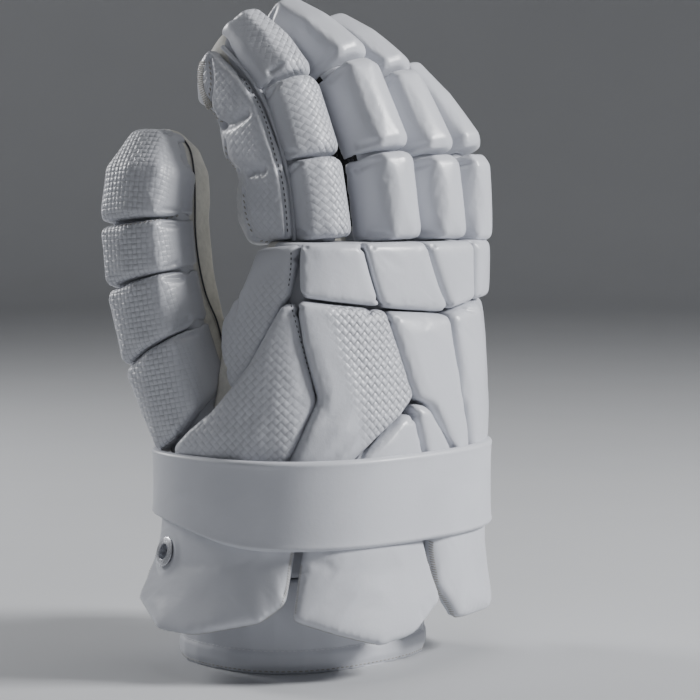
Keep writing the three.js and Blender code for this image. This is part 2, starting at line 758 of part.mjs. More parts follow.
// The eyelet's seat: +Y points out of the flap's face
function eyeletFrame() {
  const up = mix(flapBottom, flapTop, eyeletSpot.at);
  const { flare } = flaps[eyeletSpot.flap];
  const at = (angle, rise, grow) => cuffAt(eyeletSpot.angle + angle, up + rise, grow, flare);
  const centre = at(0, 0, -flapThickness / 2);
  const across = at(1, 0, 0).sub(at(-1, 0, 0));
  const rise = at(0, 1, 0).sub(at(0, -1, 0));
  const out = new THREE.Vector3().crossVectors(across, rise).normalize();
  rise.crossVectors(out, across).normalize();
  across.crossVectors(rise, out).normalize();
  return new THREE.Matrix4().makeBasis(across, out, rise.negate()).setPosition(centre);
}
const eyeletHalf = flapThickness / 2 + 5 * clearance; // from the flap's middle to the flange
const barrel = eyeletHole + eyeletWall;
const eyeletProfile = [
  [eyeletHole, -eyeletHalf - eyeletWall],
  [eyeletRim, -eyeletHalf - eyeletWall / 2],
  [eyeletRim, -eyeletHalf],
  [barrel, -eyeletHalf],
  [barrel, eyeletHalf],
  [eyeletRim, eyeletHalf],
  [eyeletRim, eyeletHalf + eyeletWall / 2],
  [eyeletHole, eyeletHalf + eyeletWall],
];
const eyelet = new THREE.LatheGeometry(
  [...eyeletProfile, eyeletProfile[0]].map(([r, y]) => new THREE.Vector2(r, y)),
  20,
);
add("eyelet", eyelet.applyMatrix4(eyeletFrame()), plastic);

// Wristband, with a stitched rim round the opening
const bandProfile = [
  { up: 0, out: -bandWall },
  { up: 0, out: 0.4 * wall },
  { up: bandRim, out: 0.4 * wall },
  { up: bandRim + wall, out: 0 },
  { up: bodyBottom - clearance, out: 0 },
  { up: bodyBottom - clearance, out: -bandWall },
];
add(
  "wristband",
  hoop(
    Array.from({ length: handSides }, (_, i) =>
      bandProfile.map(({ up, out }) => handAt((360 * i) / handSides, bodyBottom, out).setZ(up)),
    ),
  ),
  knit,
);

export default glove;
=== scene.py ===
"""Dresses a right-hand lacrosse glove: soft pads, suede hand, strap, flaps, wristband and stitching.

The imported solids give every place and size. Each soft solid is copied, remeshed, swollen as
stuffed cloth and creased at its corners. Lengths are metres, in the part's own frame: +Z runs
up to the fingers, -Y out of the back of the hand and -X towards the thumb.
"""
import math

import bpy
import numpy as np
from mathutils import Matrix, Vector
from mathutils.bvhtree import BVHTree


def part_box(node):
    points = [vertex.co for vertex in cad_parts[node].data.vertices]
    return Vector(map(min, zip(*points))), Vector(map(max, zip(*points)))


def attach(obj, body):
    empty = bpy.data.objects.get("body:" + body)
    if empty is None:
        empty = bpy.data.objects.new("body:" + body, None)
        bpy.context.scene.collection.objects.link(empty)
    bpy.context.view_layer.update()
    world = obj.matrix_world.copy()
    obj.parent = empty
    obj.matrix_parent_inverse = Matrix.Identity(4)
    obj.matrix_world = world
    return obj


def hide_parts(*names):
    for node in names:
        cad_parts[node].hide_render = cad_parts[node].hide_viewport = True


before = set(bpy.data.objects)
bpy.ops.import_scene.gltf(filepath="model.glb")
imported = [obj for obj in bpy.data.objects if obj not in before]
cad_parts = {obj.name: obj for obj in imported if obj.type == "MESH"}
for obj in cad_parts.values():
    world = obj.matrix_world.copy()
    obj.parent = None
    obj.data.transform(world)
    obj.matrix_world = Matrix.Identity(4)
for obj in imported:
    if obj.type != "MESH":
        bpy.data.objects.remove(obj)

bl_info = {
    "name": "Lacrosse glove",
    "version": (1, 0, 0),
    "blender": (4, 5, 0),
    "location": "3D View > Sidebar > Glove",
    "description": "Builds the soft pieces, finishes and stitching of a lacrosse glove",
    "category": "Object",
}

MM = 0.001
BODY = "root"
SEED = 7
SWELL_FRAMES = 12

# What the remeshes give back or close (broad: hand, stalls and flaps), and how round hoops are
BROAD_PLUMP = 0.7 * MM
PAD_PLUMP = 0.65 * MM
PAD_CLOSE = 0.7 * MM
BAND_VOXEL = 1.1 * MM
BAND_PLUMP = 0.4 * MM
STRAP_ROUNDING = 0.9 * MM
EYELET_ROUNDING = 0.35 * MM

# The picture's camera: where it looks from, and how far away it stands
PICTURE_SIZE = 700
PICTURE_AZIMUTH = -45
PICTURE_ELEVATION = 5
CAMERA_DISTANCE = 1.35
PIXEL = 0.463 * MM
SENSOR = 36
LENS = SENSOR * CAMERA_DISTANCE / (PIXEL * PICTURE_SIZE)
AIM_RIGHT = 21.3 * MM
AIM_UP = 139.4 * MM

# Fingers: the turn of each about Z in degrees, and its pads from root to tip
FINGERS = {
    "index": (-4, ["base", "mid", "tip"]),
    "middle": (10, ["base", "mid", "tip"]),
    "ring": (15, ["base", "mid", "tip"]),
    "little": (27, ["base", "tip"]),
}
THUMB_TURN = -75
KNIT_START = 7 * MM  # above the finger's root
KNIT_END = 20 * MM  # below the finger's tip
THUMB_PADS = ["root", "low", "high", "tip"]
BACK_PADS = [
    "knuckle_index_pad",
    "knuckle_middle_pad",
    "knuckle_ring_pad",
    "knuckle_little_pad",
    "middle_panel",
    "little_panel",
    "wedge_left_pad",
    "wedge_right_pad",
    "index_panel",
    "thumb_base_panel",
    "web_panel",
]
FLAPS = ["flap_thumb", "flap_back", "flap_little"]


class GloveSettings(bpy.types.PropertyGroup):
    """Sizes and colours of the glove's soft pieces"""

    pad_voxel: bpy.props.FloatProperty(
        name="Pad voxel",
        description="Cell size of a pad's remesh",
        default=1.25 * MM,
        unit="LENGTH",
    )
    panel_voxel: bpy.props.FloatProperty(
        name="Panel voxel",
        description="Cell size of the remesh of the larger pads and the flaps",
        default=1.5 * MM,
        unit="LENGTH",
    )
    hand_voxel: bpy.props.FloatProperty(
        name="Hand voxel",
        description="Cell size of the hand's and the finger stalls' remesh",
        default=1.3 * MM,
        unit="LENGTH",
    )
    swell: bpy.props.FloatProperty(
        name="Swell",
        description="Most that the stuffing moves a pad's cover",
        default=0.6 * MM,
        unit="LENGTH",
    )
    crease_depth: bpy.props.FloatProperty(
        name="Crease depth",
        description="Depth of the folds at a pad's corners",
        default=1.15 * MM,
        unit="LENGTH",
    )
    weave_pitch: bpy.props.FloatProperty(
        name="Weave pitch",
        description="Width of one cell of the embossed basket weave",
        default=2.7 * MM,
        unit="LENGTH",
    )
    fine_pitch: bpy.props.FloatProperty(
        name="Fine weave pitch",
        description="Width of one cell of the finer weave on the thumb",
        default=2.3 * MM,
        unit="LENGTH",
    )
    thread: bpy.props.FloatProperty(
        name="Thread",
        description="Radius of the sewing thread",
        default=0.28 * MM,
        unit="LENGTH",
    )
    cover_color: bpy.props.FloatVectorProperty(
        name="Cover",
        description="Colour of the satin covers",
        default=(0.62, 0.635, 0.685),
        subtype="COLOR",
    )
    suede_color: bpy.props.FloatVectorProperty(
        name="Suede",
        description="Colour of the palm's brushed suede",
        default=(0.66, 0.65, 0.60),
        subtype="COLOR",
    )
    mesh_color: bpy.props.FloatVectorProperty(
        name="Mesh",
        description="Colour of the knit mesh between the fingers",
        default=(0.022, 0.022, 0.026),
        subtype="COLOR",
    )


def settings():
    """The sizes and colours that the sidebar shows."""
    return bpy.context.scene.glove


# Small tools


def activate(obj):
    """Makes obj the only selected object."""
    bpy.ops.object.select_all(action="DESELECT")
    obj.select_set(True)
    bpy.context.view_layer.objects.active = obj


def finish_with(obj, kind, **values):
    """Adds a modifier to obj and applies it."""
    activate(obj)
    modifier = obj.modifiers.new(kind.title(), kind)
    for key, value in values.items():
        setattr(modifier, key, value)
    bpy.ops.object.modifier_apply(modifier=modifier.name)


def points_of(obj):
    points = np.empty(len(obj.data.vertices) * 3)
    obj.data.vertices.foreach_get("co", points)
    return points.reshape(-1, 3)


def normals_of(obj):
    normals = np.empty(len(obj.data.vertices) * 3)
    obj.data.vertex_normals.foreach_get("vector", normals)
    return normals.reshape(-1, 3)


def move_points(obj, points):
    obj.data.vertices.foreach_set("co", points.ravel())
    obj.data.update()


def unit(v):
    return np.asarray(v, float) / np.linalg.norm(v)


def smooth(t):
    t = np.clip(t, 0, 1)
    return t * t * (3 - 2 * t)


def copy_of(node, name):
    """A new object with a node's shape, its loose triangles joined."""
    obj = bpy.data.objects.new(name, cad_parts[node].data.copy())
    obj.data.name = name
    obj.data.materials.clear()
    bpy.context.scene.collection.objects.link(obj)
    activate(obj)
    bpy.ops.object.mode_set(mode="EDIT")
    bpy.ops.mesh.select_all(action="SELECT")
    bpy.ops.mesh.remove_doubles(threshold=0.01 * MM)
    bpy.ops.object.mode_set(mode="OBJECT")
    return obj


def settle(obj, nodes=()):
    """Shades a finished piece smooth, puts it under its body and hides the nodes that it stands for."""
    activate(obj)
    bpy.ops.object.shade_smooth()
    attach(obj, BODY)
    if nodes:
        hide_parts(*nodes)
    return obj


def set_attribute(obj, name, values):
    """A value for each point of the mesh, which a material can read."""
    attribute = obj.data.attributes.new(name, "FLOAT", "POINT")
    attribute.data.foreach_set("value", np.asarray(values, np.float32))


def lay_uv(obj, axes, centre):
    """Unfolds the piece along its own axes, in metres, each face on the side that it faces."""
    mesh = obj.data
    local = (points_of(obj) - centre) @ axes.T
    facing = np.empty(len(mesh.polygons) * 3)
    mesh.polygons.foreach_get("normal", facing)
    side = np.abs(facing.reshape(-1, 3) @ axes.T).argmax(1)
    corners = np.empty(len(mesh.loops), np.int32)
    mesh.loops.foreach_get("vertex_index", corners)
    sizes = np.empty(len(mesh.polygons), np.int32)
    mesh.polygons.foreach_get("loop_total", sizes)
    side = np.repeat(side, sizes)
    spot = local[corners]
    u = np.where(side == 0, spot[:, 2], spot[:, 0])
    v = np.where(side == 1, spot[:, 2], spot[:, 1])
    layer = mesh.uv_layers.new(name="surface")
    layer.data.foreach_set("uv", np.stack([u, v], 1).astype(np.float32).ravel())


def dent(obj, path, depth, width, fold=False):
    """Presses a groove into the piece along a path laid on its surface; a fold's ends run out."""
    points = points_of(obj)
    tree = tree_of(obj)
    spots = np.array([np.asarray(spot, float) for spot in path])
    line = resample(spots, 2 * MM)
    path = [np.array(tree.find_nearest(Vector(spot))[0]) for spot in line]
    press = np.zeros(len(points))
    for i, (a, b) in enumerate(zip(path[:-1], path[1:])):
        run = b - a
        t = np.clip((points - a) @ run / max(run @ run, 1e-12), 0, 1)
        near = np.linalg.norm(points - a - t[:, None] * run, axis=1)
        share = np.sin(np.pi * (i + t) / (len(path) - 1)) if fold else 1
        press = np.maximum(press, share * np.exp(-((near / width) ** 2)))
    move_points(obj, points - normals_of(obj) * (depth * press)[:, None])


# Soft pieces


def pad_axes(points, across, outward):
    """Axes of a pad on a finger: across it, along it, and out of the finger."""
    across = unit(across)
    flat = points - points.mean(0)
    flat = flat - np.outer(flat @ across, across)
    along = np.linalg.eigh(flat.T @ flat)[1][:, 2]
    along = along if along[2] > 0 else -along
    out = np.cross(across, along)
    return np.array([across, along, out if out @ outward > 0 else -out])


def remesh(obj, voxel, rounds, plump=0.0, close=0.0):
    """Even cells all over, with rounded edges. plump gives back what the rounding takes away, and
    close mends pinholes where the solid is thin."""
    finish_with(obj, "REMESH", mode="VOXEL", voxel_size=voxel)
    if close:
        move_points(obj, points_of(obj) + normals_of(obj) * close)
        finish_with(obj, "REMESH", mode="VOXEL", voxel_size=voxel)
        plump -= close
    if rounds:
        finish_with(obj, "SMOOTH", factor=0.5, iterations=rounds)
    if plump:
        move_points(obj, points_of(obj) + normals_of(obj) * plump)


def swell(obj, axes, cap, hold=0.3, pressure=4.0):
    """Blows the piece up as stuffed cloth, held at its foot, and caps how far a point moves."""
    before = points_of(obj)
    height = before @ axes[2]
    rise = (height - height.min()) / (height.max() - height.min())
    foot = obj.vertex_groups.new(name="foot")
    foot.add(np.flatnonzero(rise < hold).tolist(), 1.0, "REPLACE")
    activate(obj)
    cloth = obj.modifiers.new("Cloth", "CLOTH")
    cloth.settings.vertex_group_mass = foot.name
    cloth.settings.quality = 3
    cloth.settings.mass = 0.0006
    cloth.settings.use_pressure = True
    cloth.settings.uniform_pressure_force = pressure
    cloth.settings.effector_weights.gravity = 0
    cloth.settings.tension_stiffness = 6
    cloth.settings.compression_stiffness = 6
    cloth.settings.shear_stiffness = 3
    cloth.settings.bending_stiffness = 0.02
    cloth.collision_settings.use_collision = False
    cloth.point_cache.frame_start = 1
    cloth.point_cache.frame_end = SWELL_FRAMES
    for number in range(1, SWELL_FRAMES + 1):
        bpy.context.scene.frame_set(number)
    bpy.ops.object.modifier_apply(modifier=cloth.name)
    bpy.context.scene.frame_set(1)
    move = points_of(obj) - before
    length = np.linalg.norm(move, axis=1)
    if not np.isfinite(length).all():
        raise RuntimeError(f"{obj.name}: the cloth blew up")
    move *= (np.minimum(length, cap) / np.maximum(length, 1e-9))[:, None]
    move_points(obj, before + move)
    obj.vertex_groups.clear()


def corner(points, axes, signs):
    """The point furthest towards one corner of the piece's own box."""
    local = (points - points.mean(0)) @ axes.T
    reach = local / np.abs(local).max(0)
    return points[(reach @ np.asarray(signs, float)).argmax()]


def crease_corners(obj, axes, depth, rng, width=1.2 * MM):
    """Folds the cover at the four corners, where it is gathered over the foam."""
    points = points_of(obj)
    for a in (-1, 1):
        for b in (-1, 1):
            top = corner(points, axes, (a, b, 1.2))
            foot = corner(points, axes, (a * 0.8, b, -0.8))
            inward = -axes[1] * b
            middle = (top + foot) / 2 + inward * rng.uniform(1.4, 2.4) * MM
            end = foot + inward * rng.uniform(3.6, 5.6) * MM
            dent(obj, [top, middle, end], depth * rng.uniform(0.6, 1.0), width, fold=True)
            low = foot + inward * rng.uniform(0.6, 1.4) * MM
            dent(obj, [top, low], depth * rng.uniform(0.2, 0.5), width, fold=True)


def soft_pad(
    node, axes_of, material, weave=None, voxel=None, creases=True, reach=(0, 0)
):
    """One stuffed pad in place of a node. reach makes its low and its high end longer."""
    s = settings()
    rng = np.random.default_rng(SEED + sum(map(ord, node)))
    obj = copy_of(node, node.replace("_pad", "") + "_cover")
    remesh(obj, voxel or s.pad_voxel, 1, plump=PAD_PLUMP, close=PAD_CLOSE)
    points = points_of(obj)
    axes = axes_of(points)
    along = (points - points.mean(0)) @ axes[1]
    ends = smooth((np.abs(along) / np.abs(along).max() - 0.5) / 0.4)
    ends *= np.where(along < 0, -reach[0], reach[1])
    move_points(obj, points + ends[:, None] * axes[1])
    swell(obj, axes, s.swell)
    finish_with(obj, "SUBSURF", levels=1, render_levels=1)
    if creases:
        crease_corners(obj, axes, s.crease_depth, rng)
    points = points_of(obj)
    centre = points.mean(0)
    local = (points - centre) @ axes.T
    height = local[:, 2]
    # rise is the height over the pad's foot; the cover material paints shade where it is low.
    set_attribute(obj, "rise", (height - height.min()) / (height.max() - height.min()))
    share = local / np.abs(local).max(0)
    set_attribute(obj, "weave", np.zeros(len(points)) if weave is None else weave(share))
    lay_uv(obj, axes, centre)
    obj.data.materials.append(material)
    return settle(obj, [node])


# Materials


def place(tree, kind, inputs=(), **values):
    """A node of the tree, with values or links for its sockets."""
    node = tree.nodes.new(kind)
    node.location = (210 * (len(tree.nodes) % 8), -230 * (len(tree.nodes) // 8))
    for key, value in values.items():
        setattr(node, key, value)
    for key, value in dict(inputs).items():
        if isinstance(value, bpy.types.NodeSocket):
            tree.links.new(value, node.inputs[key])
        else:
            node.inputs[key].default_value = value
    return node


def maths(tree, operation, *values):
    return place(tree, "ShaderNodeMath", dict(enumerate(values)), operation=operation).outputs[0]


def ramp(tree, value, low, high, start=0.0, end=1.0):
    """Eases a value between two limits."""
    inputs = {"Value": value, "From Min": low, "From Max": high, "To Min": start, "To Max": end}
    return place(tree, "ShaderNodeMapRange", inputs, interpolation_type="SMOOTHSTEP").outputs[0]


def blend_colors(tree, amount, first, second):
    inputs = {0: amount, 6: first, 7: second}
    return place(tree, "ShaderNodeMix", inputs, data_type="RGBA").outputs[2]


def noise(tree, vector, scale, detail=2.0, distortion=0.0):
    inputs = {"Vector": vector, "Scale": scale, "Detail": detail, "Distortion": distortion}
    return place(tree, "ShaderNodeTexNoise", inputs).outputs[0]


def new_group(name, inputs, outputs):
    """A shader node group with named sockets: its tree, its inputs and its output node."""
    tree = bpy.data.node_groups.new(name, "ShaderNodeTree")
    for label, kind, default in inputs:
        socket = tree.interface.new_socket(label, in_out="INPUT", socket_type=kind)
        if default is not None:
            socket.default_value = default
    for label in outputs:
        tree.interface.new_socket(label, in_out="OUTPUT", socket_type="NodeSocketFloat")
    return tree, tree.nodes.new("NodeGroupInput").outputs, tree.nodes.new("NodeGroupOutput")


def use_group(tree, name, inputs):
    return place(tree, "ShaderNodeGroup", inputs, node_tree=bpy.data.node_groups[name]).outputs


VECTOR = ("Vector", "NodeSocketVector", None)


def build_weave():
    """Embossed basket weave: strands that pass over and under each other."""
    tree, inputs, end = new_group(
        "Basket weave", [VECTOR, ("Pitch", "NodeSocketFloat", 0.002)], ["Height", "Gap"]
    )
    parts = place(tree, "ShaderNodeSeparateXYZ", {0: inputs["Vector"]}).outputs
    humps = []
    cells = []
    for k in range(2):
        cell = maths(tree, "DIVIDE", parts[k], inputs["Pitch"])
        cells.append(maths(tree, "FLOOR", cell))
        turn = maths(tree, "MULTIPLY", maths(tree, "FRACT", cell), math.pi)
        humps.append(maths(tree, "SINE", turn))
    over = maths(tree, "PINGPONG", maths(tree, "ADD", *cells), 1.0)
    strands = []
    for first, second in (humps, humps[::-1]):
        crown = maths(tree, "MULTIPLY_ADD", second, 0.35, 0.65)
        strands.append(maths(tree, "MULTIPLY", maths(tree, "POWER", first, 0.55), crown))
    height = place(tree, "ShaderNodeMix", {0: over, 2: strands[0], 3: strands[1]}).outputs[0]
    tree.links.new(height, end.inputs["Height"])
    # Gap marks where the strands sink, which the cover darkens as painted shade.
    tree.links.new(ramp(tree, height, 0.45, 0.1), end.inputs["Gap"])


def build_grain():
    """Fine pebbling of a coated cloth, with soft rumples."""
    tree, inputs, end = new_group(
        "Coated grain", [VECTOR, ("Rumple", "NodeSocketFloat", 0.5)], ["Height", "Tone"]
    )
    fine = noise(tree, inputs["Vector"], 1900.0, 3.0)
    pebble = noise(tree, inputs["Vector"], 620.0, 3.0, 0.4)
    rumple = noise(tree, inputs["Vector"], 75.0, 3.0, 1.2)
    tall = maths(tree, "MULTIPLY", rumple, inputs["Rumple"])
    tall = maths(tree, "MULTIPLY_ADD", pebble, 0.35, tall)
    tree.links.new(maths(tree, "MULTIPLY_ADD", fine, 0.25, tall), end.inputs["Height"])
    broad = noise(tree, inputs["Vector"], 28.0, 4.0, 0.6)
    tree.links.new(ramp(tree, broad, 0.35, 0.7), end.inputs["Tone"])


def build_nap():
    """Brushed suede: short fibres, and patches brushed another way."""
    tree, inputs, end = new_group("Suede nap", [VECTOR], ["Height", "Tone"])
    fibre = noise(tree, inputs["Vector"], 2600.0, 4.0, 0.8)
    clump = noise(tree, inputs["Vector"], 420.0, 3.0, 0.5)
    tree.links.new(maths(tree, "MULTIPLY_ADD", clump, 0.9, fibre), end.inputs["Height"])
    patch = noise(tree, inputs["Vector"], 55.0, 4.0, 1.5)
    mixed = maths(tree, "MULTIPLY_ADD", clump, 0.35, maths(tree, "MULTIPLY", patch, 0.65))
    tree.links.new(ramp(tree, mixed, 0.35, 0.65), end.inputs["Tone"])


def build_knit():
    """Open knit mesh: rows of small holes."""
    tree, inputs, end = new_group("Knit holes", [VECTOR], ["Height", "Hole"])
    cells = {"Vector": inputs["Vector"], "Scale": 480.0, "Randomness": 0.0}
    hole = place(tree, "ShaderNodeTexVoronoi", cells).outputs["Distance"]
    tree.links.new(ramp(tree, hole, 0.3, 0.5), end.inputs["Height"])
    tree.links.new(ramp(tree, hole, 0.42, 0.3), end.inputs["Hole"])


def new_material(name, rough, sheen=0.0, coat=0.0):
    material = bpy.data.materials.new(name)
    material.use_nodes = True
    tree = material.node_tree
    shader = tree.nodes["Principled BSDF"]
    shader.inputs["Roughness"].default_value = rough
    shader.inputs["Sheen Weight"].default_value = sheen
    shader.inputs["Coat Weight"].default_value = coat
    coords = place(tree, "ShaderNodeTexCoord").outputs
    return material, tree, shader, coords


def attribute(tree, name):
    return place(tree, "ShaderNodeAttribute", attribute_name=name).outputs["Fac"]


def shade(color, share):
    """A lighter or darker colour, opaque."""
    return (*[c * share for c in color], 1)


def connect(tree, shader, color, rough, height, depth):
    """Links colour, roughness and relief to the shader. depth is the relief's size in metres."""
    tree.links.new(color, shader.inputs["Base Color"])
    tree.links.new(rough, shader.inputs["Roughness"])
    bump = place(tree, "ShaderNodeBump", {"Height": height, "Distance": depth})
    tree.links.new(bump.outputs[0], shader.inputs["Normal"])


def satin_cover(
    name, pitch=0.0, turn=45.0, tint=1.0, rise=True, rumple=1.1, rough=0.34, relief=0.45 * MM
):
    """Satin coated cloth; where rise is set, painted shade greys it towards the pad's foot at the seams,
    and a basket weave where weave says, with painted shade in its gaps.
    """
    material, tree, shader, coords = new_material(name, rough, sheen=0.08, coat=0.12)
    shader.inputs["Coat Roughness"].default_value = 0.3
    color = settings().cover_color
    grain = use_group(tree, "Coated grain", {"Vector": coords["Object"], "Rumple": rumple})
    tone = blend_colors(tree, grain["Tone"], shade(color, tint), shade(color, tint * 0.93))
    if rise:
        # Painted shade: towards the pad's foot the cover fades to 0.62 of a bluer cover colour, for the
        # shade that falls in the grooves between the pads.
        foot = ramp(tree, attribute(tree, "rise"), 0.6, 0.05)
        tone = blend_colors(tree, foot, tone, shade((color[0], color[1], color[2] * 1.03), 0.62))
    height = maths(tree, "MULTIPLY", grain["Height"], 0.3)
    roughness = maths(tree, "MULTIPLY_ADD", grain["Tone"], 0.1, rough - 0.04)
    if pitch:
        turned = {"Vector": coords["UV"], "Rotation": (0, 0, math.radians(turn))}
        spot = place(tree, "ShaderNodeMapping", turned).outputs[0]
        weave = use_group(tree, "Basket weave", {"Vector": spot, "Pitch": pitch})
        there = attribute(tree, "weave")
        emboss = maths(tree, "MULTIPLY", weave["Height"], there)
        height = maths(tree, "ADD", height, emboss)
        # Painted shade: the weave's gaps are darkened towards half the cover colour, for the shade in
        # the sunken strands.
        gap = maths(tree, "MULTIPLY", weave["Gap"], maths(tree, "MULTIPLY", there, 0.55))
        tone = blend_colors(tree, gap, tone, shade(color, 0.5))
    connect(tree, shader, tone, roughness, height, relief)
    return material


def suede():
    """Palm leather, with satin cloth where cover says, painted darker as the shade of the grooves
    between the pads, and dark knit where knit says.
    """
    s = settings()
    material, tree, shader, coords = new_material("Suede", 0.9, sheen=0.35)
    nap = use_group(tree, "Suede nap", {"Vector": coords["Object"]})
    color = blend_colors(tree, nap["Tone"], shade(s.suede_color, 1.06), shade(s.suede_color, 0.86))
    knit = use_group(tree, "Knit holes", {"Vector": coords["Object"]})
    dark = blend_colors(tree, knit["Hole"], shade(s.mesh_color, 0.25), shade(s.mesh_color, 1.6))
    side = ramp(tree, attribute(tree, "knit"), 0.46, 0.54)
    # Painted shade: the satin cloth in the grooves between the pads is set at 0.8 of the cover colour.
    back = ramp(tree, attribute(tree, "cover"), 0.45, 0.55)
    color = blend_colors(tree, back, color, shade(s.cover_color, 0.8))
    color = blend_colors(tree, side, color, dark)
    nap_height = maths(tree, "MULTIPLY", nap["Height"], 0.35)
    height = place(tree, "ShaderNodeMix", {0: side, 2: nap_height, 3: knit["Height"]}).outputs[0]
    rough = maths(tree, "MULTIPLY_ADD", nap["Tone"], 0.08, 0.86)
    connect(tree, shader, color, rough, height, 0.3 * MM)
    return material


def thread_material(name, color, rough=0.6):
    """Twisted thread."""
    material, tree, shader, coords = new_material(name, rough, sheen=0.2)
    twist = noise(tree, coords["Object"], 2400.0, 2.0, 0.5)
    tone = blend_colors(tree, twist, shade(color, 0.7), shade(color, 1.15))
    connect(tree, shader, tone, maths(tree, "MULTIPLY_ADD", twist, 0.2, rough - 0.1), twist, 0.1 * MM)
    return material


def ring_material():
    """Bright plated eyelet with light wear."""
    material, tree, shader, coords = new_material("Eyelet", 0.25)
    shader.inputs["Metallic"].default_value = 0.85
    wear = noise(tree, coords["Object"], 500.0, 4.0, 0.6)
    tone = blend_colors(tree, ramp(tree, wear, 0.5, 0.75), (0.66, 0.67, 0.71, 1), (0.42, 0.43, 0.46, 1))
    connect(tree, shader, tone, maths(tree, "MULTIPLY_ADD", wear, 0.25, 0.15), wear, 0.04 * MM)
    return material


MATERIALS = {}


def build_materials():
    """The node groups, and then the materials that use them."""
    s = settings()
    build_weave()
    build_grain()
    build_nap()
    build_knit()
    MATERIALS.update(
        smooth=satin_cover("Satin cover"),
        woven=satin_cover("Woven cover", pitch=s.weave_pitch, rumple=0.35, relief=0.85 * MM),
        fine=satin_cover("Fine woven cover", pitch=s.fine_pitch, turn=0.0, rumple=0.35, relief=0.7 * MM),
        guard=satin_cover("Quilted cover", pitch=s.weave_pitch, rumple=0.6, relief=0.7 * MM),
        strap=satin_cover("Strap", rise=False, rumple=0.15, rough=0.46, tint=1.02),
        flap=satin_cover("Flap cover", rise=False, rumple=0.35, tint=1.02),
        band=satin_cover("Wristband cloth", rise=False, rumple=0.25, rough=0.55, tint=0.97),
        suede=suede(),
        white_thread=thread_material("White thread", (0.75, 0.76, 0.8)),
        dark_thread=thread_material("Dark thread", (0.05, 0.05, 0.06)),
        edge_thread=thread_material("Edge thread", (0.4, 0.385, 0.35)),
        eyelet=ring_material(),
    )


# Stitches and cords


def camera_axes():
    """The picture's forward, right and up directions, and where the eye is."""
    a, e = math.radians(PICTURE_AZIMUTH), math.radians(PICTURE_ELEVATION)
    forward = Vector((-math.sin(a) * math.cos(e), math.cos(a) * math.cos(e), -math.sin(e)))
    right = forward.cross(Vector((0, 0, 1))).normalized()
    up = right.cross(forward)
    eye = right * AIM_RIGHT + up * AIM_UP - forward * CAMERA_DISTANCE
    return forward, right, up, eye


def tree_of(obj):
    return BVHTree.FromObject(obj, bpy.context.evaluated_depsgraph_get())


def shown(name):
    return bpy.data.objects[name]


def seen_in_picture(spots, hosts):
    """Where the picture's lines of sight through the spots, in pixels, meet the host pieces."""
    forward, right, up, eye = camera_axes()
    half = PICTURE_SIZE / 2
    scale = PIXEL / CAMERA_DISTANCE
    rays = [forward + right * ((x - half) * scale) + up * ((half - y) * scale) for x, y in spots]
    return cast(hosts, [(eye, ray.normalized()) for ray in rays])


def seen_from(spots, hosts, direction):
    """Where lines along direction through the spots meet the host pieces."""
    direction = Vector(direction).normalized()
    return cast(hosts, [(Vector(spot) - direction * 0.5, direction) for spot in spots])


def cast(hosts, rays):
    """The nearest hit of each ray on the hosts: points and normals."""
    trees = [tree_of(shown(name)) for name in hosts]
    found = []
    for start, direction in rays:
        hits = [hit for hit in (tree.ray_cast(start, direction) for tree in trees) if hit[0]]
        if hits:
            nearest = min(hits, key=lambda hit: hit[3])
            found.append((np.array(nearest[0]), np.array(nearest[1])))
    return found


def curve_through(spots, step):
    """Points a step apart along a smooth line through spots: rows of any width."""
    spots = np.asarray(spots, float)
    ends = np.vstack([2 * spots[0] - spots[1], spots, 2 * spots[-1] - spots[-2]])
    line = []
    for p0, p1, p2, p3 in zip(ends[:-3], ends[1:-2], ends[2:-1], ends[3:]):
        for t in np.linspace(0, 1, 24, endpoint=False):
            line.append(
                p1
                + 0.5 * t * (p2 - p0)
                + t * t * (p0 - 2.5 * p1 + 2 * p2 - 0.5 * p3)
                + t**3 * (1.5 * (p1 - p2) + 0.5 * (p3 - p0))
            )
    line = np.array([*line, spots[-1]])
    along = np.concatenate([[0], np.cumsum(np.linalg.norm(np.diff(line, axis=0), axis=1))])
    count = max(2, int(round(along[-1] / step)) + 1)
    marks = np.linspace(0, along[-1], count)
    return np.stack([np.interp(marks, along, line[:, k]) for k in range(line.shape[1])], 1)


def stitch_shape():
    """One stitch, a stretched bead along X, one unit long and one unit thick."""
    bpy.ops.object.select_all(action="DESELECT")
    bpy.ops.mesh.primitive_uv_sphere_add(segments=8, ring_count=6, radius=0.5)
    bead = bpy.context.object
    bpy.ops.object.mode_set(mode="EDIT")
    bpy.ops.mesh.select_all(action="SELECT")
    bpy.ops.transform.rotate(value=math.pi / 2, orient_axis="Y", center_override=(0, 0, 0))
    bpy.ops.object.mode_set(mode="OBJECT")
    points = points_of(bead)
    points[:, 0] = np.sign(points[:, 0]) * np.abs(2 * points[:, 0]) ** 0.6 / 2
    faces = [tuple(face.vertices) for face in bead.data.polygons]
    bpy.data.objects.remove(bead)
    return points, faces


STITCH = stitch_shape()


def sew(name, stitches, radius, material):
    """Stitches as one piece. Each is (middle, direction, normal, length)."""
    shape, faces = STITCH
    points = []
    corners = []
    for middle, direction, normal, length in stitches:
        x = unit(direction)
        z = unit(normal - x * (normal @ x))
        y = np.cross(z, x)
        size = shape * np.array([length, 2 * radius, 1.5 * radius])
        corners += [tuple(k + len(points) for k in face) for face in faces]
        points.extend(middle + size @ np.array([x, y, z]))
    mesh = bpy.data.meshes.new(name)
    mesh.from_pydata([tuple(p) for p in points], [], corners)
    mesh.update()
    obj = bpy.data.objects.new(name, mesh)
    bpy.context.scene.collection.objects.link(obj)
    obj.data.materials.append(material)
    return settle(obj)


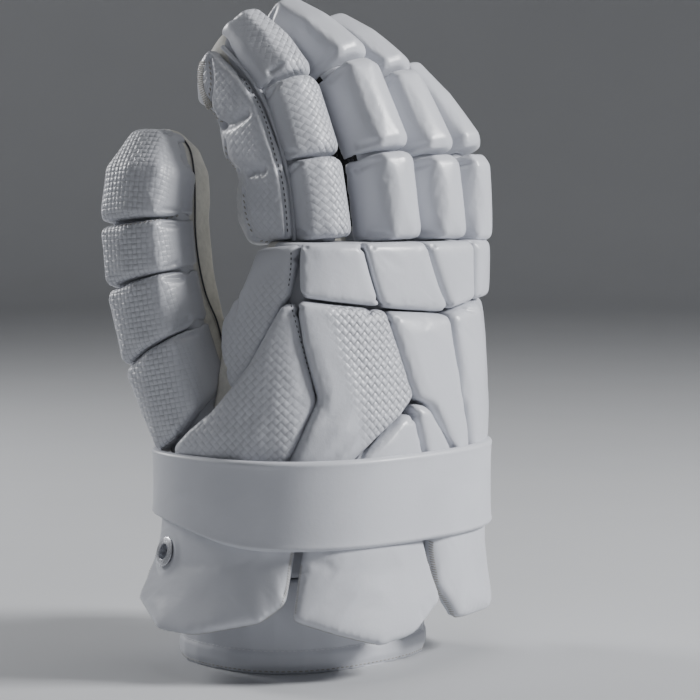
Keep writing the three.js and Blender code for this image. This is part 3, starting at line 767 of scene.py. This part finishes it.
def run_of_stitches(found, length, gap, slant=0.0, sink=0.25):
    """Stitches along surface points: (point, normal) rows, smoothed and evenly spaced."""
    rows = np.array([np.concatenate(row) for row in found])
    line = resample(rows, length + gap)
    stitches = []
    radius = settings().thread
    for before, here, after in zip(line[:-2], line[1:-1], line[2:]):
        normal = unit(here[3:])
        direction = unit(after[:3] - before[:3])
        side = np.cross(normal, direction)
        direction = direction * math.cos(slant) + side * math.sin(slant)
        stitches.append((here[:3] + normal * radius * sink, direction, normal, length))
    return stitches


def eased(found, rounds=6):
    """Surface points with the steps between them smoothed."""
    rows = np.array([np.concatenate(row) for row in found])
    for _ in range(rounds):
        rows[1:-1] = (rows[:-2] + 2 * rows[1:-1] + rows[2:]) / 4
    return [(row[:3], unit(row[3:])) for row in rows]


def resample(rows, step):
    """Rows of numbers evenly spaced by their first three, which are a place."""
    along = np.concatenate([[0], np.cumsum(np.linalg.norm(np.diff(rows[:, :3], axis=0), axis=1))])
    count = max(3, int(along[-1] / step) + 1)
    marks = np.linspace(0, along[-1], count)
    return np.stack([np.interp(marks, along, rows[:, k]) for k in range(rows.shape[1])], 1)


def cord_along(name, found, radius, lift, material):
    """A thin round cord or welt that lies on surface points."""
    curve = bpy.data.curves.new(name, "CURVE")
    curve.dimensions = "3D"
    curve.bevel_depth = radius
    curve.bevel_resolution = 2
    curve.resolution_u = 3
    curve.use_fill_caps = True
    spline = curve.splines.new("POLY")
    spline.points.add(len(found) - 1)
    for spot, (point, normal) in zip(spline.points, found):
        spot.co = (*(point + unit(normal) * lift), 1)
    obj = bpy.data.objects.new(name, curve)
    bpy.context.scene.collection.objects.link(obj)
    activate(obj)
    bpy.ops.object.convert(target="MESH")
    obj = bpy.context.object
    obj.data.materials.append(material)
    return settle(obj)


# Pieces


def build_hand():
    """Leather hand and finger stalls, with knit sides between the fingers."""
    s = settings()
    hand = copy_of("hand_shell", "hand_leather")
    remesh(hand, s.hand_voxel, 6, plump=BROAD_PLUMP)
    points = points_of(hand)
    set_attribute(hand, "knit", np.zeros(len(points)))
    forward = middle_line(points) / (20 * MM) - points[:, 1] / (20 * MM)
    # cover marks the satin cloth on the back; the suede material paints it darker as the grooves' shade.
    set_attribute(hand, "cover", smooth((0.2 + forward) / 0.4))
    hand.data.materials.append(MATERIALS["suede"])
    settle(hand, ["hand_shell"])
    for finger, (turn, _) in FINGERS.items():
        stall = copy_of(f"{finger}_stall", f"{finger}_leather")
        remesh(stall, s.hand_voxel, 6, plump=BROAD_PLUMP)
        share, side = finger_shares(points_of(stall), turn)
        height = points_of(stall)[:, 2]
        side = np.abs(side) if finger != "index" else side
        knit = smooth((share - 0.15) / 0.2) * smooth((0.85 - share) / 0.15) * smooth((side - 0.5) / 0.2)
        knit *= smooth((height - height.min() - KNIT_START) / (2 * MM))
        knit *= smooth((height.max() - KNIT_END - height) / (4 * MM))
        set_attribute(stall, "knit", knit)
        # The finger's root on the back also takes the cloth with its painted groove shade.
        root = smooth((height.min() + KNIT_START - height) / (2 * MM)) * smooth((share - 0.3) / 0.1)
        set_attribute(stall, "cover", np.maximum(smooth((share - 0.55) / 0.1), root))
        stall.data.materials.append(MATERIALS["suede"])
        settle(stall, [f"{finger}_stall"])
    thumb = copy_of("thumb_stall", "thumb_leather")
    remesh(thumb, s.hand_voxel, 6, plump=BROAD_PLUMP)
    share, _ = finger_shares(points_of(thumb), THUMB_TURN)
    set_attribute(thumb, "knit", np.zeros(len(share)))
    # The thumb's back takes the cloth with its painted groove shade too.
    set_attribute(thumb, "cover", smooth((share - 0.6) / 0.1))
    thumb.data.materials.append(MATERIALS["suede"])
    settle(thumb, ["thumb_stall"])


def finger_slices(points, turn, step=2 * MM):
    """Heights, back and palm limits and side limits of a finger, slice by slice."""
    across = np.array([math.cos(math.radians(turn)), math.sin(math.radians(turn)), 0])
    out = np.array([math.sin(math.radians(turn)), -math.cos(math.radians(turn)), 0])
    z = points[:, 2]
    edges = np.arange(z.min(), z.max() + step, step)
    rows = []
    for low, high in zip(edges[:-1], edges[1:]):
        inside = points[(z >= low) & (z < high)]
        if len(inside):
            a, o = inside @ across, inside @ out
            rows.append([(low + high) / 2, o.min(), o.max(), a.min(), a.max()])
    return across, out, np.array(rows)


def finger_shares(points, turn):
    """Where each point lies in its slice: 0 palm to 1 back, and -1 to 1 from side to side."""
    across, out, rows = finger_slices(points, turn)
    low, high, left, right = (np.interp(points[:, 2], rows[:, 0], rows[:, k]) for k in range(1, 5))
    share = (points @ out - low) / np.maximum(high - low, 1 * MM)
    side = 2 * (points @ across - left) / np.maximum(right - left, 1 * MM) - 1
    return share, side


def middle_line(points):
    """Halfway between the back and the palm at the height of each point, along Y."""
    z = points[:, 2]
    edges = np.linspace(z.min(), z.max(), 12)
    middles = [points[(z >= a) & (z <= b), 1] for a, b in zip(edges[:-1], edges[1:])]
    halves = [(part.min() + part.max()) / 2 for part in middles]
    return np.interp(z, (edges[:-1] + edges[1:]) / 2, halves)


def woven_top(reach):
    """The weave shows on the top of a finger pad, and most on its far side."""
    return smooth((reach[:, 2] - 0.05) / 0.5) * (0.25 + 0.75 * smooth((reach[:, 0] + 0.45) / 0.6))


def woven_all(reach):
    """The weave shows on the top, strongest in its middle."""
    middle = 1 - 0.6 * smooth((np.abs(reach[:, 0] + 0.1) - 0.35) / 0.4)
    return 0.7 * smooth((reach[:, 2] + 0.1) / 0.5) * middle


def woven_faint(reach):
    """A faint weave on the top."""
    return 0.4 * smooth((reach[:, 2] + 0.1) / 0.6)


def woven_right(reach):
    """The weave of the index panel fades towards the thumb and the wrist."""
    return smooth((reach[:, 0] + 0.35 * reach[:, 1] + 0.05) / 0.45)


def build_finger_pads():
    """Stuffed pads over the fingers and the thumb."""
    for finger, (turn, joints) in FINGERS.items():
        turn = math.radians(turn)
        across = np.array([math.cos(turn), math.sin(turn), 0])
        out = np.array([math.sin(turn), -math.cos(turn), 0.3])
        woven = finger == "index"
        for joint in joints:
            soft_pad(
                f"{finger}_{joint}_pad",
                lambda points: pad_axes(points, across, out),
                MATERIALS["woven" if woven else "smooth"],
                weave=woven_top if woven else None,
                reach=(1.3 * MM, 0) if joint == "base" else (0, 0),
            )
    turn = math.radians(THUMB_TURN)
    across = np.array([math.cos(turn), math.sin(turn), 0])
    out = np.array([math.sin(turn), -math.cos(turn), 0.2])
    for joint in THUMB_PADS:
        soft_pad(
            f"thumb_{joint}_pad",
            lambda points: pad_axes(points, tilt_across(points, across), out),
            MATERIALS["fine"],
            weave=woven_all,
        )


def tilt_across(points, across):
    """The thumb leans, so its pads' across direction leans with them."""
    flat = points - points.mean(0)
    side = np.array([across[0], across[1], 0])
    a, z = flat @ side, flat[:, 2]
    low = np.polyfit(a, z, 1)[0]
    return unit(side + np.array([0, 0, 0.5 * low]))


def panel_axes(points):
    """Axes of a pad on the back of the hand: round the hand, up, and out."""
    lo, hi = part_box("hand_shell")
    middle = (np.array(lo) + np.array(hi)) / 2
    out = points.mean(0) - middle
    out = unit([out[0], out[1] * 1.6, 0])
    return np.array([[-out[1], out[0], 0], [0, 0, 1], out])


WOVEN_PANELS = {
    "index_panel": ("woven", woven_right),
    "thumb_base_panel": ("woven", woven_faint),
    "web_panel": ("woven", woven_faint),
}


def build_back_pads():
    """Stuffed pads on the back of the hand."""
    for node in BACK_PADS:
        kind, weave = WOVEN_PANELS.get(node, ("smooth", None))
        voxel = settings().panel_voxel if node.endswith("_panel") else None
        reach = (0, 0.8 * MM) if node.startswith("knuckle") else (0, 0)
        soft_pad(node, panel_axes, MATERIALS[kind], weave=weave, voxel=voxel, reach=reach)


# Wristband heights: the lip's top, the groove over it, and the two rows of stitches
LIP_TOP = 2.9 * MM
GROOVE = 3.1 * MM
LIP_ROW = 1.4 * MM
UPPER_ROW = 10.5 * MM

# The ribbed trim of the guard
RIB_LENGTH = 5 * MM
RIB_STEP = 0.95 * MM

# The palm patch's outline: millimetres across and up
PALM_PATCH = [
    (-14, 118), (-6, 150), (6, 172), (30, 177), (54, 174), (64, 156),
    (62, 128), (48, 108), (26, 102), (2, 104), (-14, 118),
]

# Seams in the picture, in pixels
GUARD_SEAM = [
    (222, 54), (235, 68), (248, 86), (258, 103), (267, 125), (275, 155),
    (281, 175), (285, 200), (288, 236),
]
GUARD_WELT = [
    (224, 47), (240, 64), (254, 82), (266, 103), (276, 130), (284, 158),
    (290, 185), (293, 212), (295, 240),
]
THUMB_PIPING = [
    (181, 138), (189, 150), (193, 172), (194, 200), (194, 225), (196, 250),
    (200, 275), (206, 298), (216, 322), (223, 350),
]
GUARD_TRIM = [(204, 50), (202, 62), (200, 76), (202, 92), (209, 106), (216, 116)]
GUARD_FOOT = [(257, 240), (270, 242), (290, 240)]
GUARD_LOBES = [
    [(209, 58), (211, 82), (209, 100), (214, 116), (226, 124)],
    [(225, 142), (228, 160), (238, 171)],
    [(243, 190), (246, 215), (253, 236)],
]
GUARD_PINCHES = [[(222, 127), (234, 122), (245, 114)], [(235, 178), (250, 172), (262, 170)]]
WEB_SEAM = [(291, 249), (291, 262), (290, 275), (288, 290)]
BASE_SEAM = [(290, 301), (295, 320), (301, 342), (308, 368), (315, 388)]
THUMB_SEAM = [(118, 226), (140, 223), (162, 219), (182, 215)]


def build_guard():
    """Quilted guard on the index finger."""
    guard = soft_pad(
        "index_guard",
        guard_axes,
        MATERIALS["guard"],
        weave=lambda reach: np.full(len(reach), 0.3),
        creases=False,
    )
    for path in GUARD_PINCHES:
        dent(guard, [point for point, _ in seen_in_picture(path, [guard.name])], 2.6 * MM, 2.2 * MM)
    for path in (GUARD_SEAM, GUARD_FOOT, *GUARD_LOBES):
        found = seen_in_picture(curve_through(path, 3), [guard.name])
        if len(found) > 1:
            dent(guard, [point for point, _ in found], 1.7 * MM, 1.3 * MM)


def guard_axes(points):
    """Axes of the guard: along the glove's side, up, and out towards the thumb."""
    out = unit([-0.9, -0.35, 0])
    return np.array([[-out[1], out[0], 0], [0, 0, 1], out])


def build_cuff():
    """Strap, padded flaps with an overlocked edge, and the eyelet."""
    s = settings()
    strap = copy_of("cuff_strap", "strap")
    round_hoop(strap, STRAP_ROUNDING)
    strap.data.materials.append(MATERIALS["strap"])
    settle(strap, ["cuff_strap"])
    for node in FLAPS:
        flap = copy_of(node, node + "_cover")
        remesh(flap, s.panel_voxel, 18, plump=BROAD_PLUMP)
        points = points_of(flap)
        axes = panel_axes(points)
        swell(flap, axes, 0.8 * MM, hold=0.2)
        if node == "flap_thumb":
            seat_eyelet(flap)
        finish_with(flap, "SUBSURF", levels=1, render_levels=1)
        flap.data.materials.append(MATERIALS["flap"])
        settle(flap, [node])
        loop = flap_edge(flap, axes)
        sew(node + "_overlock", overlock(loop), 0.3 * MM, MATERIALS["edge_thread"])
    ring = copy_of("eyelet", "eyelet_ring")
    round_hoop(ring, EYELET_ROUNDING)
    ring.data.materials.append(MATERIALS["eyelet"])
    settle(ring, ["eyelet"])


def seat_eyelet(flap):
    """Raises the flap under the eyelet's flange."""
    centre = np.mean(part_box("eyelet"), axis=0)
    points = points_of(flap)
    near = np.linalg.norm(points - centre, axis=1)
    lift = 1.2 * MM * smooth((12 * MM - near) / (3.5 * MM))
    move_points(flap, points + normals_of(flap) * lift[:, None])


def round_hoop(obj, width):
    """Rounds a ring that is made of flat faces."""
    activate(obj)
    bpy.ops.object.mode_set(mode="EDIT")
    bpy.ops.mesh.select_all(action="SELECT")
    bpy.ops.mesh.tris_convert_to_quads(face_threshold=math.radians(60), shape_threshold=math.radians(60))
    bpy.ops.object.mode_set(mode="OBJECT")
    limits = {"limit_method": "ANGLE", "angle_limit": math.radians(40)}
    finish_with(obj, "BEVEL", width=width, segments=2, **limits)
    finish_with(obj, "SUBSURF", levels=2, render_levels=2)


def flap_edge(flap, axes, count=150):
    """The flap's rim, in order round its face: rows of (point, outward direction)."""
    points = points_of(flap)
    middle = (points.min(0) + points.max(0)) / 2
    a, b = (points - middle) @ axes[0], (points - middle) @ axes[1]
    angle = np.arctan2(b, a)
    reach = np.hypot(a, b)
    rim = []
    for mark in np.linspace(-math.pi * 1.06, math.pi * 0.06, count):
        wedge = np.abs((angle - mark + math.pi) % (2 * math.pi) - math.pi) < 1.5 * math.pi / count
        if wedge.any():
            rim.append(points[wedge][reach[wedge].argmax()])
    rim = np.array(rim)
    for _ in range(3):
        rim[1:-1] = (rim[:-2] + 2 * rim[1:-1] + rim[2:]) / 4
    return [(point, unit(point - middle)) for point in rim]


def overlock(loop):
    """Thread that wraps over a rim: short slanted stitches across it."""
    rows = resample(np.array([np.concatenate(row) for row in loop]), 1.15 * MM)
    stitches = []
    for before, here, after in zip(rows[:-2], rows[1:-1], rows[2:]):
        along = unit(after[:3] - before[:3])
        out = unit(here[3:] - along * (here[3:] @ along))
        across = np.cross(out, along)
        stitches.append((here[:3] - out * 0.1 * MM, across + 0.35 * along, out, 2.6 * MM))
    return stitches


def build_wristband():
    """Stretch wristband with a stitched lip round the opening."""
    band = copy_of("wristband", "wristband_cloth")
    remesh(band, BAND_VOXEL, 3, plump=BAND_PLUMP)
    points = points_of(band)
    centre = (points.min(0) + points.max(0)) / 2
    flat = points - centre
    flat[:, 2] = 0
    radius = np.linalg.norm(flat, axis=1)
    lip = smooth((LIP_TOP - points[:, 2]) / (0.5 * MM))
    outer = normals_of(band)[:, :2] * flat[:, :2] / radius[:, None]
    outside = smooth(outer.sum(1) * 3)
    groove = np.exp(-(((points[:, 2] - GROOVE) / (0.5 * MM)) ** 2))
    row = np.exp(-(((points[:, 2] - UPPER_ROW) / (0.8 * MM)) ** 2))
    move = -(1.0 * MM * lip + 0.5 * MM * groove + 0.4 * MM * row) * outside
    points += flat / radius[:, None] * move[:, None]
    points[:, 2] = np.maximum(points[:, 2], 0)
    move_points(band, points)
    band.data.materials.append(MATERIALS["band"])
    settle(band, ["wristband"])
    for height, thread in ((LIP_ROW, "edge_thread"), (UPPER_ROW, "white_thread")):
        ring = []
        for angle in np.linspace(0, 2 * math.pi, 160):
            inward = Vector((-math.cos(angle), -math.sin(angle), 0))
            ring.append(((centre[0], centre[1], height), inward))
        rays = [(Vector(middle) - inward * 0.2, inward) for middle, inward in ring]
        stitches = run_of_stitches(cast([band.name], rays), 1.7 * MM, 0.9 * MM)
        sew(f"wristband_{thread}", stitches, settings().thread, MATERIALS[thread])


def build_seams():
    """Stitches and welts of the guard, the web, the thumb and the back."""
    thread = settings().thread
    guard = ["index_guard_cover"]
    dark = []
    light = []
    for path, hosts, length in (
        (GUARD_SEAM, guard, 1.5 * MM),
        (WEB_SEAM, ["web_panel_cover"], 1.2 * MM),
        (BASE_SEAM, ["thumb_base_panel_cover", "hand_leather"], 1.2 * MM),
    ):
        found = seen_in_picture(curve_through(path, 2), hosts)
        dark += run_of_stitches(found, length, 1.1 * MM)
    for path in (GUARD_FOOT, *GUARD_LOBES):
        found = seen_in_picture(curve_through(path, 2), guard)
        light += run_of_stitches(found, 1.7 * MM, 0.7 * MM, slant=0.4)
    thumb = ["thumb_leather", "thumb_tip_cover", "thumb_high_cover"]
    found = seen_in_picture(curve_through(THUMB_SEAM, 2), thumb)
    light += run_of_stitches(found, 1.6 * MM, 0.7 * MM, slant=0.5)
    sew("dark_stitches", dark, thread, MATERIALS["dark_thread"])
    welt = seen_in_picture(curve_through(GUARD_WELT, 2), ["index_leather", "index_guard_cover"])
    cord_along("guard_welt", eased(welt), 1.1 * MM, 0.9 * MM, MATERIALS["band"])
    welt = seen_in_picture(curve_through(THUMB_PIPING, 2), ["thumb_leather"])
    cord_along("thumb_piping", eased(welt), 0.42 * MM, 0.6 * MM, MATERIALS["dark_thread"])
    trim = seen_in_picture(curve_through(GUARD_TRIM, 2), guard)
    ribs = run_of_stitches(eased(trim), RIB_LENGTH, RIB_STEP - RIB_LENGTH, slant=math.pi / 2, sink=-0.6)
    sew("guard_trim", ribs, 0.5 * MM, MATERIALS["edge_thread"])
    sew("edge_stitches", light, thread * 1.1, MATERIALS["edge_thread"])
    seams = palm_seams()
    for finger, (turn, _) in FINGERS.items():
        seams += finger_seams(f"{finger}_leather", turn)
    sew("finger_stitches", seams, thread, MATERIALS["white_thread"])


def palm_seams():
    """A stitched patch on the palm, which the quilting presses in."""
    seams = []
    outline = curve_through(np.array([(x * MM, 0.0, z * MM) for x, z in PALM_PATCH]), 2 * MM)
    for shrink in (1, 0.94):
        middle = outline.mean(0)
        spots = middle + (outline - middle) * shrink
        found = seen_from(spots, ["hand_leather"], (0, -1, 0))
        if shrink == 1:
            dent(shown("hand_leather"), [point for point, _ in found], 0.8 * MM, 1.1 * MM)
            found = seen_from(spots, ["hand_leather"], (0, -1, 0))
        seams += run_of_stitches(found, 1.9 * MM, 1.0 * MM)
    return seams


def finger_seams(name, turn):
    """Two rows of stitches where a finger's leather meets its knit sides."""
    points = points_of(shown(name))
    across, out, rows = finger_slices(points, turn)
    rows = rows[6:-9]
    tree = tree_of(shown(name))
    stitches = []
    for side in (3, 4):
        found = []
        for row in rows:
            spot = across * row[side] + out * (row[1] + 0.2 * (row[2] - row[1]))
            spot[2] = row[0]
            point, normal, _, _ = tree.find_nearest(Vector(spot))
            found.append((np.array(point), np.array(normal)))
        stitches += run_of_stitches(found, 1.9 * MM, 0.9 * MM)
    return stitches


# Stage: a floor that curves up into a round wall, far enough out for the camera to stand inside
FLOOR_RADIUS = 2.2
COVE_RADIUS = 0.8
COVE_STEPS = 10
WALL_HEIGHT = 1.6


def build_stage():
    """Pale floor, soft lights and the camera of the picture."""
    bpy.ops.object.select_all(action="DESELECT")
    bpy.ops.mesh.primitive_circle_add(vertices=96, radius=FLOOR_RADIUS, fill_type="NGON")
    floor = bpy.context.object
    floor.name = "floor"
    bpy.ops.object.mode_set(mode="EDIT")
    bpy.ops.mesh.select_all(action="SELECT")
    for number in range(1, COVE_STEPS + 1):
        before, after = (math.pi / 2 * k / COVE_STEPS for k in (number - 1, number))
        rise = COVE_RADIUS * (math.cos(before) - math.cos(after))
        inner, outer = (FLOOR_RADIUS + COVE_RADIUS * math.sin(t) for t in (before, after))
        bpy.ops.mesh.extrude_edges_move(TRANSFORM_OT_translate={"value": (0, 0, rise)})
        bpy.ops.transform.resize(value=(outer / inner, outer / inner, 1), center_override=(0, 0, 0))
    bpy.ops.mesh.extrude_edges_move(TRANSFORM_OT_translate={"value": (0, 0, WALL_HEIGHT)})
    bpy.ops.object.mode_set(mode="OBJECT")
    bpy.ops.object.shade_smooth_by_angle(angle=math.radians(30))
    material, tree, shader, coords = new_material("Floor", 0.7)
    tone = noise(tree, coords["Object"], 9.0, 3.0)
    color = blend_colors(tree, tone, (0.50, 0.51, 0.53, 1), (0.53, 0.54, 0.56, 1))
    tree.links.new(color, shader.inputs["Base Color"])
    floor.data.materials.append(material)
    world = bpy.data.worlds.new("Studio")
    world.use_nodes = True
    background = world.node_tree.nodes["Background"]
    background.inputs["Color"].default_value = (0.78, 0.81, 0.86, 1)
    background.inputs["Strength"].default_value = 0.04
    bpy.context.scene.world = world
    forward, right, up, eye = camera_axes()
    middle = Vector((0, 0, 0.15))
    lamps = [
        ("key", middle - forward * 0.12 + right * 1.3 + Vector((0, 0, 0.75)), 0.35, 34),
        ("fill", middle - forward * 1.2 - right * 0.5 + Vector((0, 0, 0.8)), 0.8, 0.8),
        ("rim_left", middle + forward * 0.7 - right * 1.0 + Vector((0, 0, 0.6)), 0.35, 11),
        ("top", middle + forward * 0.1 + Vector((0, 0, 1.4)), 0.6, 3),
    ]
    for name, spot, size, power in lamps:
        data = bpy.data.lights.new(name, "AREA")
        data.size = size
        data.energy = power
        lamp = bpy.data.objects.new(name, data)
        lamp.location = spot
        lamp.rotation_euler = (middle - spot).to_track_quat("-Z", "Y").to_euler()
        bpy.context.scene.collection.objects.link(lamp)
    data = bpy.data.cameras.new("camera")
    data.sensor_width = SENSOR
    data.lens = LENS
    camera = bpy.data.objects.new("camera", data)
    camera.matrix_world = Matrix.Translation(eye) @ Matrix((right, up, -forward)).transposed().to_4x4()
    bpy.context.scene.collection.objects.link(camera)
    bpy.context.scene.camera = camera


class GLOVE_OT_stage(bpy.types.Operator):
    """Sets up the pale floor, the soft lights and the picture's camera"""

    bl_idname = "glove.stage"
    bl_label = "Stage"

    def execute(self, context):
        build_stage()
        return {"FINISHED"}


class GLOVE_OT_materials(bpy.types.Operator):
    """Makes the cloths, the suede, the threads and the plated metal"""

    bl_idname = "glove.materials"
    bl_label = "Materials"

    def execute(self, context):
        build_materials()
        return {"FINISHED"}


class GLOVE_OT_hand(bpy.types.Operator):
    """Dresses the hand and the finger stalls in suede, cloth and knit"""

    bl_idname = "glove.hand"
    bl_label = "Hand and fingers"

    def execute(self, context):
        build_hand()
        return {"FINISHED"}


class GLOVE_OT_finger_pads(bpy.types.Operator):
    """Stuffs the pads over the fingers and the thumb"""

    bl_idname = "glove.finger_pads"
    bl_label = "Finger pads"

    def execute(self, context):
        build_finger_pads()
        return {"FINISHED"}


class GLOVE_OT_back_pads(bpy.types.Operator):
    """Stuffs the pads on the back of the hand"""

    bl_idname = "glove.back_pads"
    bl_label = "Back pads"

    def execute(self, context):
        build_back_pads()
        return {"FINISHED"}


class GLOVE_OT_guard(bpy.types.Operator):
    """Quilts the guard on the index finger"""

    bl_idname = "glove.guard"
    bl_label = "Index guard"

    def execute(self, context):
        build_guard()
        return {"FINISHED"}


class GLOVE_OT_cuff(bpy.types.Operator):
    """Makes the strap, the padded flaps and the eyelet"""

    bl_idname = "glove.cuff"
    bl_label = "Cuff"

    def execute(self, context):
        build_cuff()
        return {"FINISHED"}


class GLOVE_OT_wristband(bpy.types.Operator):
    """Makes the stretch wristband and its stitched lip"""

    bl_idname = "glove.wristband"
    bl_label = "Wristband"

    def execute(self, context):
        build_wristband()
        return {"FINISHED"}


class GLOVE_OT_seams(bpy.types.Operator):
    """Sews the welts, the piping, the trim and the rows of stitches"""

    bl_idname = "glove.seams"
    bl_label = "Seams"

    def execute(self, context):
        build_seams()
        return {"FINISHED"}


STEPS = [
    GLOVE_OT_stage,
    GLOVE_OT_materials,
    GLOVE_OT_hand,
    GLOVE_OT_finger_pads,
    GLOVE_OT_back_pads,
    GLOVE_OT_guard,
    GLOVE_OT_cuff,
    GLOVE_OT_wristband,
    GLOVE_OT_seams,
]


class GLOVE_PT_panel(bpy.types.Panel):
    """Lists the glove's building steps and its sizes"""

    bl_idname = "GLOVE_PT_panel"
    bl_label = "Lacrosse glove"
    bl_space_type = "VIEW_3D"
    bl_region_type = "UI"
    bl_category = "Glove"

    def draw(self, context):
        for operator in STEPS:
            self.layout.operator(operator.bl_idname)
        for name in GloveSettings.__annotations__:
            self.layout.prop(context.scene.glove, name)


def register():
    for item in (GloveSettings, *STEPS, GLOVE_PT_panel):
        bpy.utils.register_class(item)
    bpy.types.Scene.glove = bpy.props.PointerProperty(type=GloveSettings)


def unregister():
    del bpy.types.Scene.glove
    for item in (GLOVE_PT_panel, *reversed(STEPS), GloveSettings):
        bpy.utils.unregister_class(item)


def main():
    """Runs every step in order."""
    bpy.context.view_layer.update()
    register()
    for operator in STEPS:
        name = operator.bl_idname.split(".")[1]
        if getattr(bpy.ops.glove, name)() != {"FINISHED"}:
            raise RuntimeError(f"{name} did not finish")


if __name__ == "__main__":
    main()
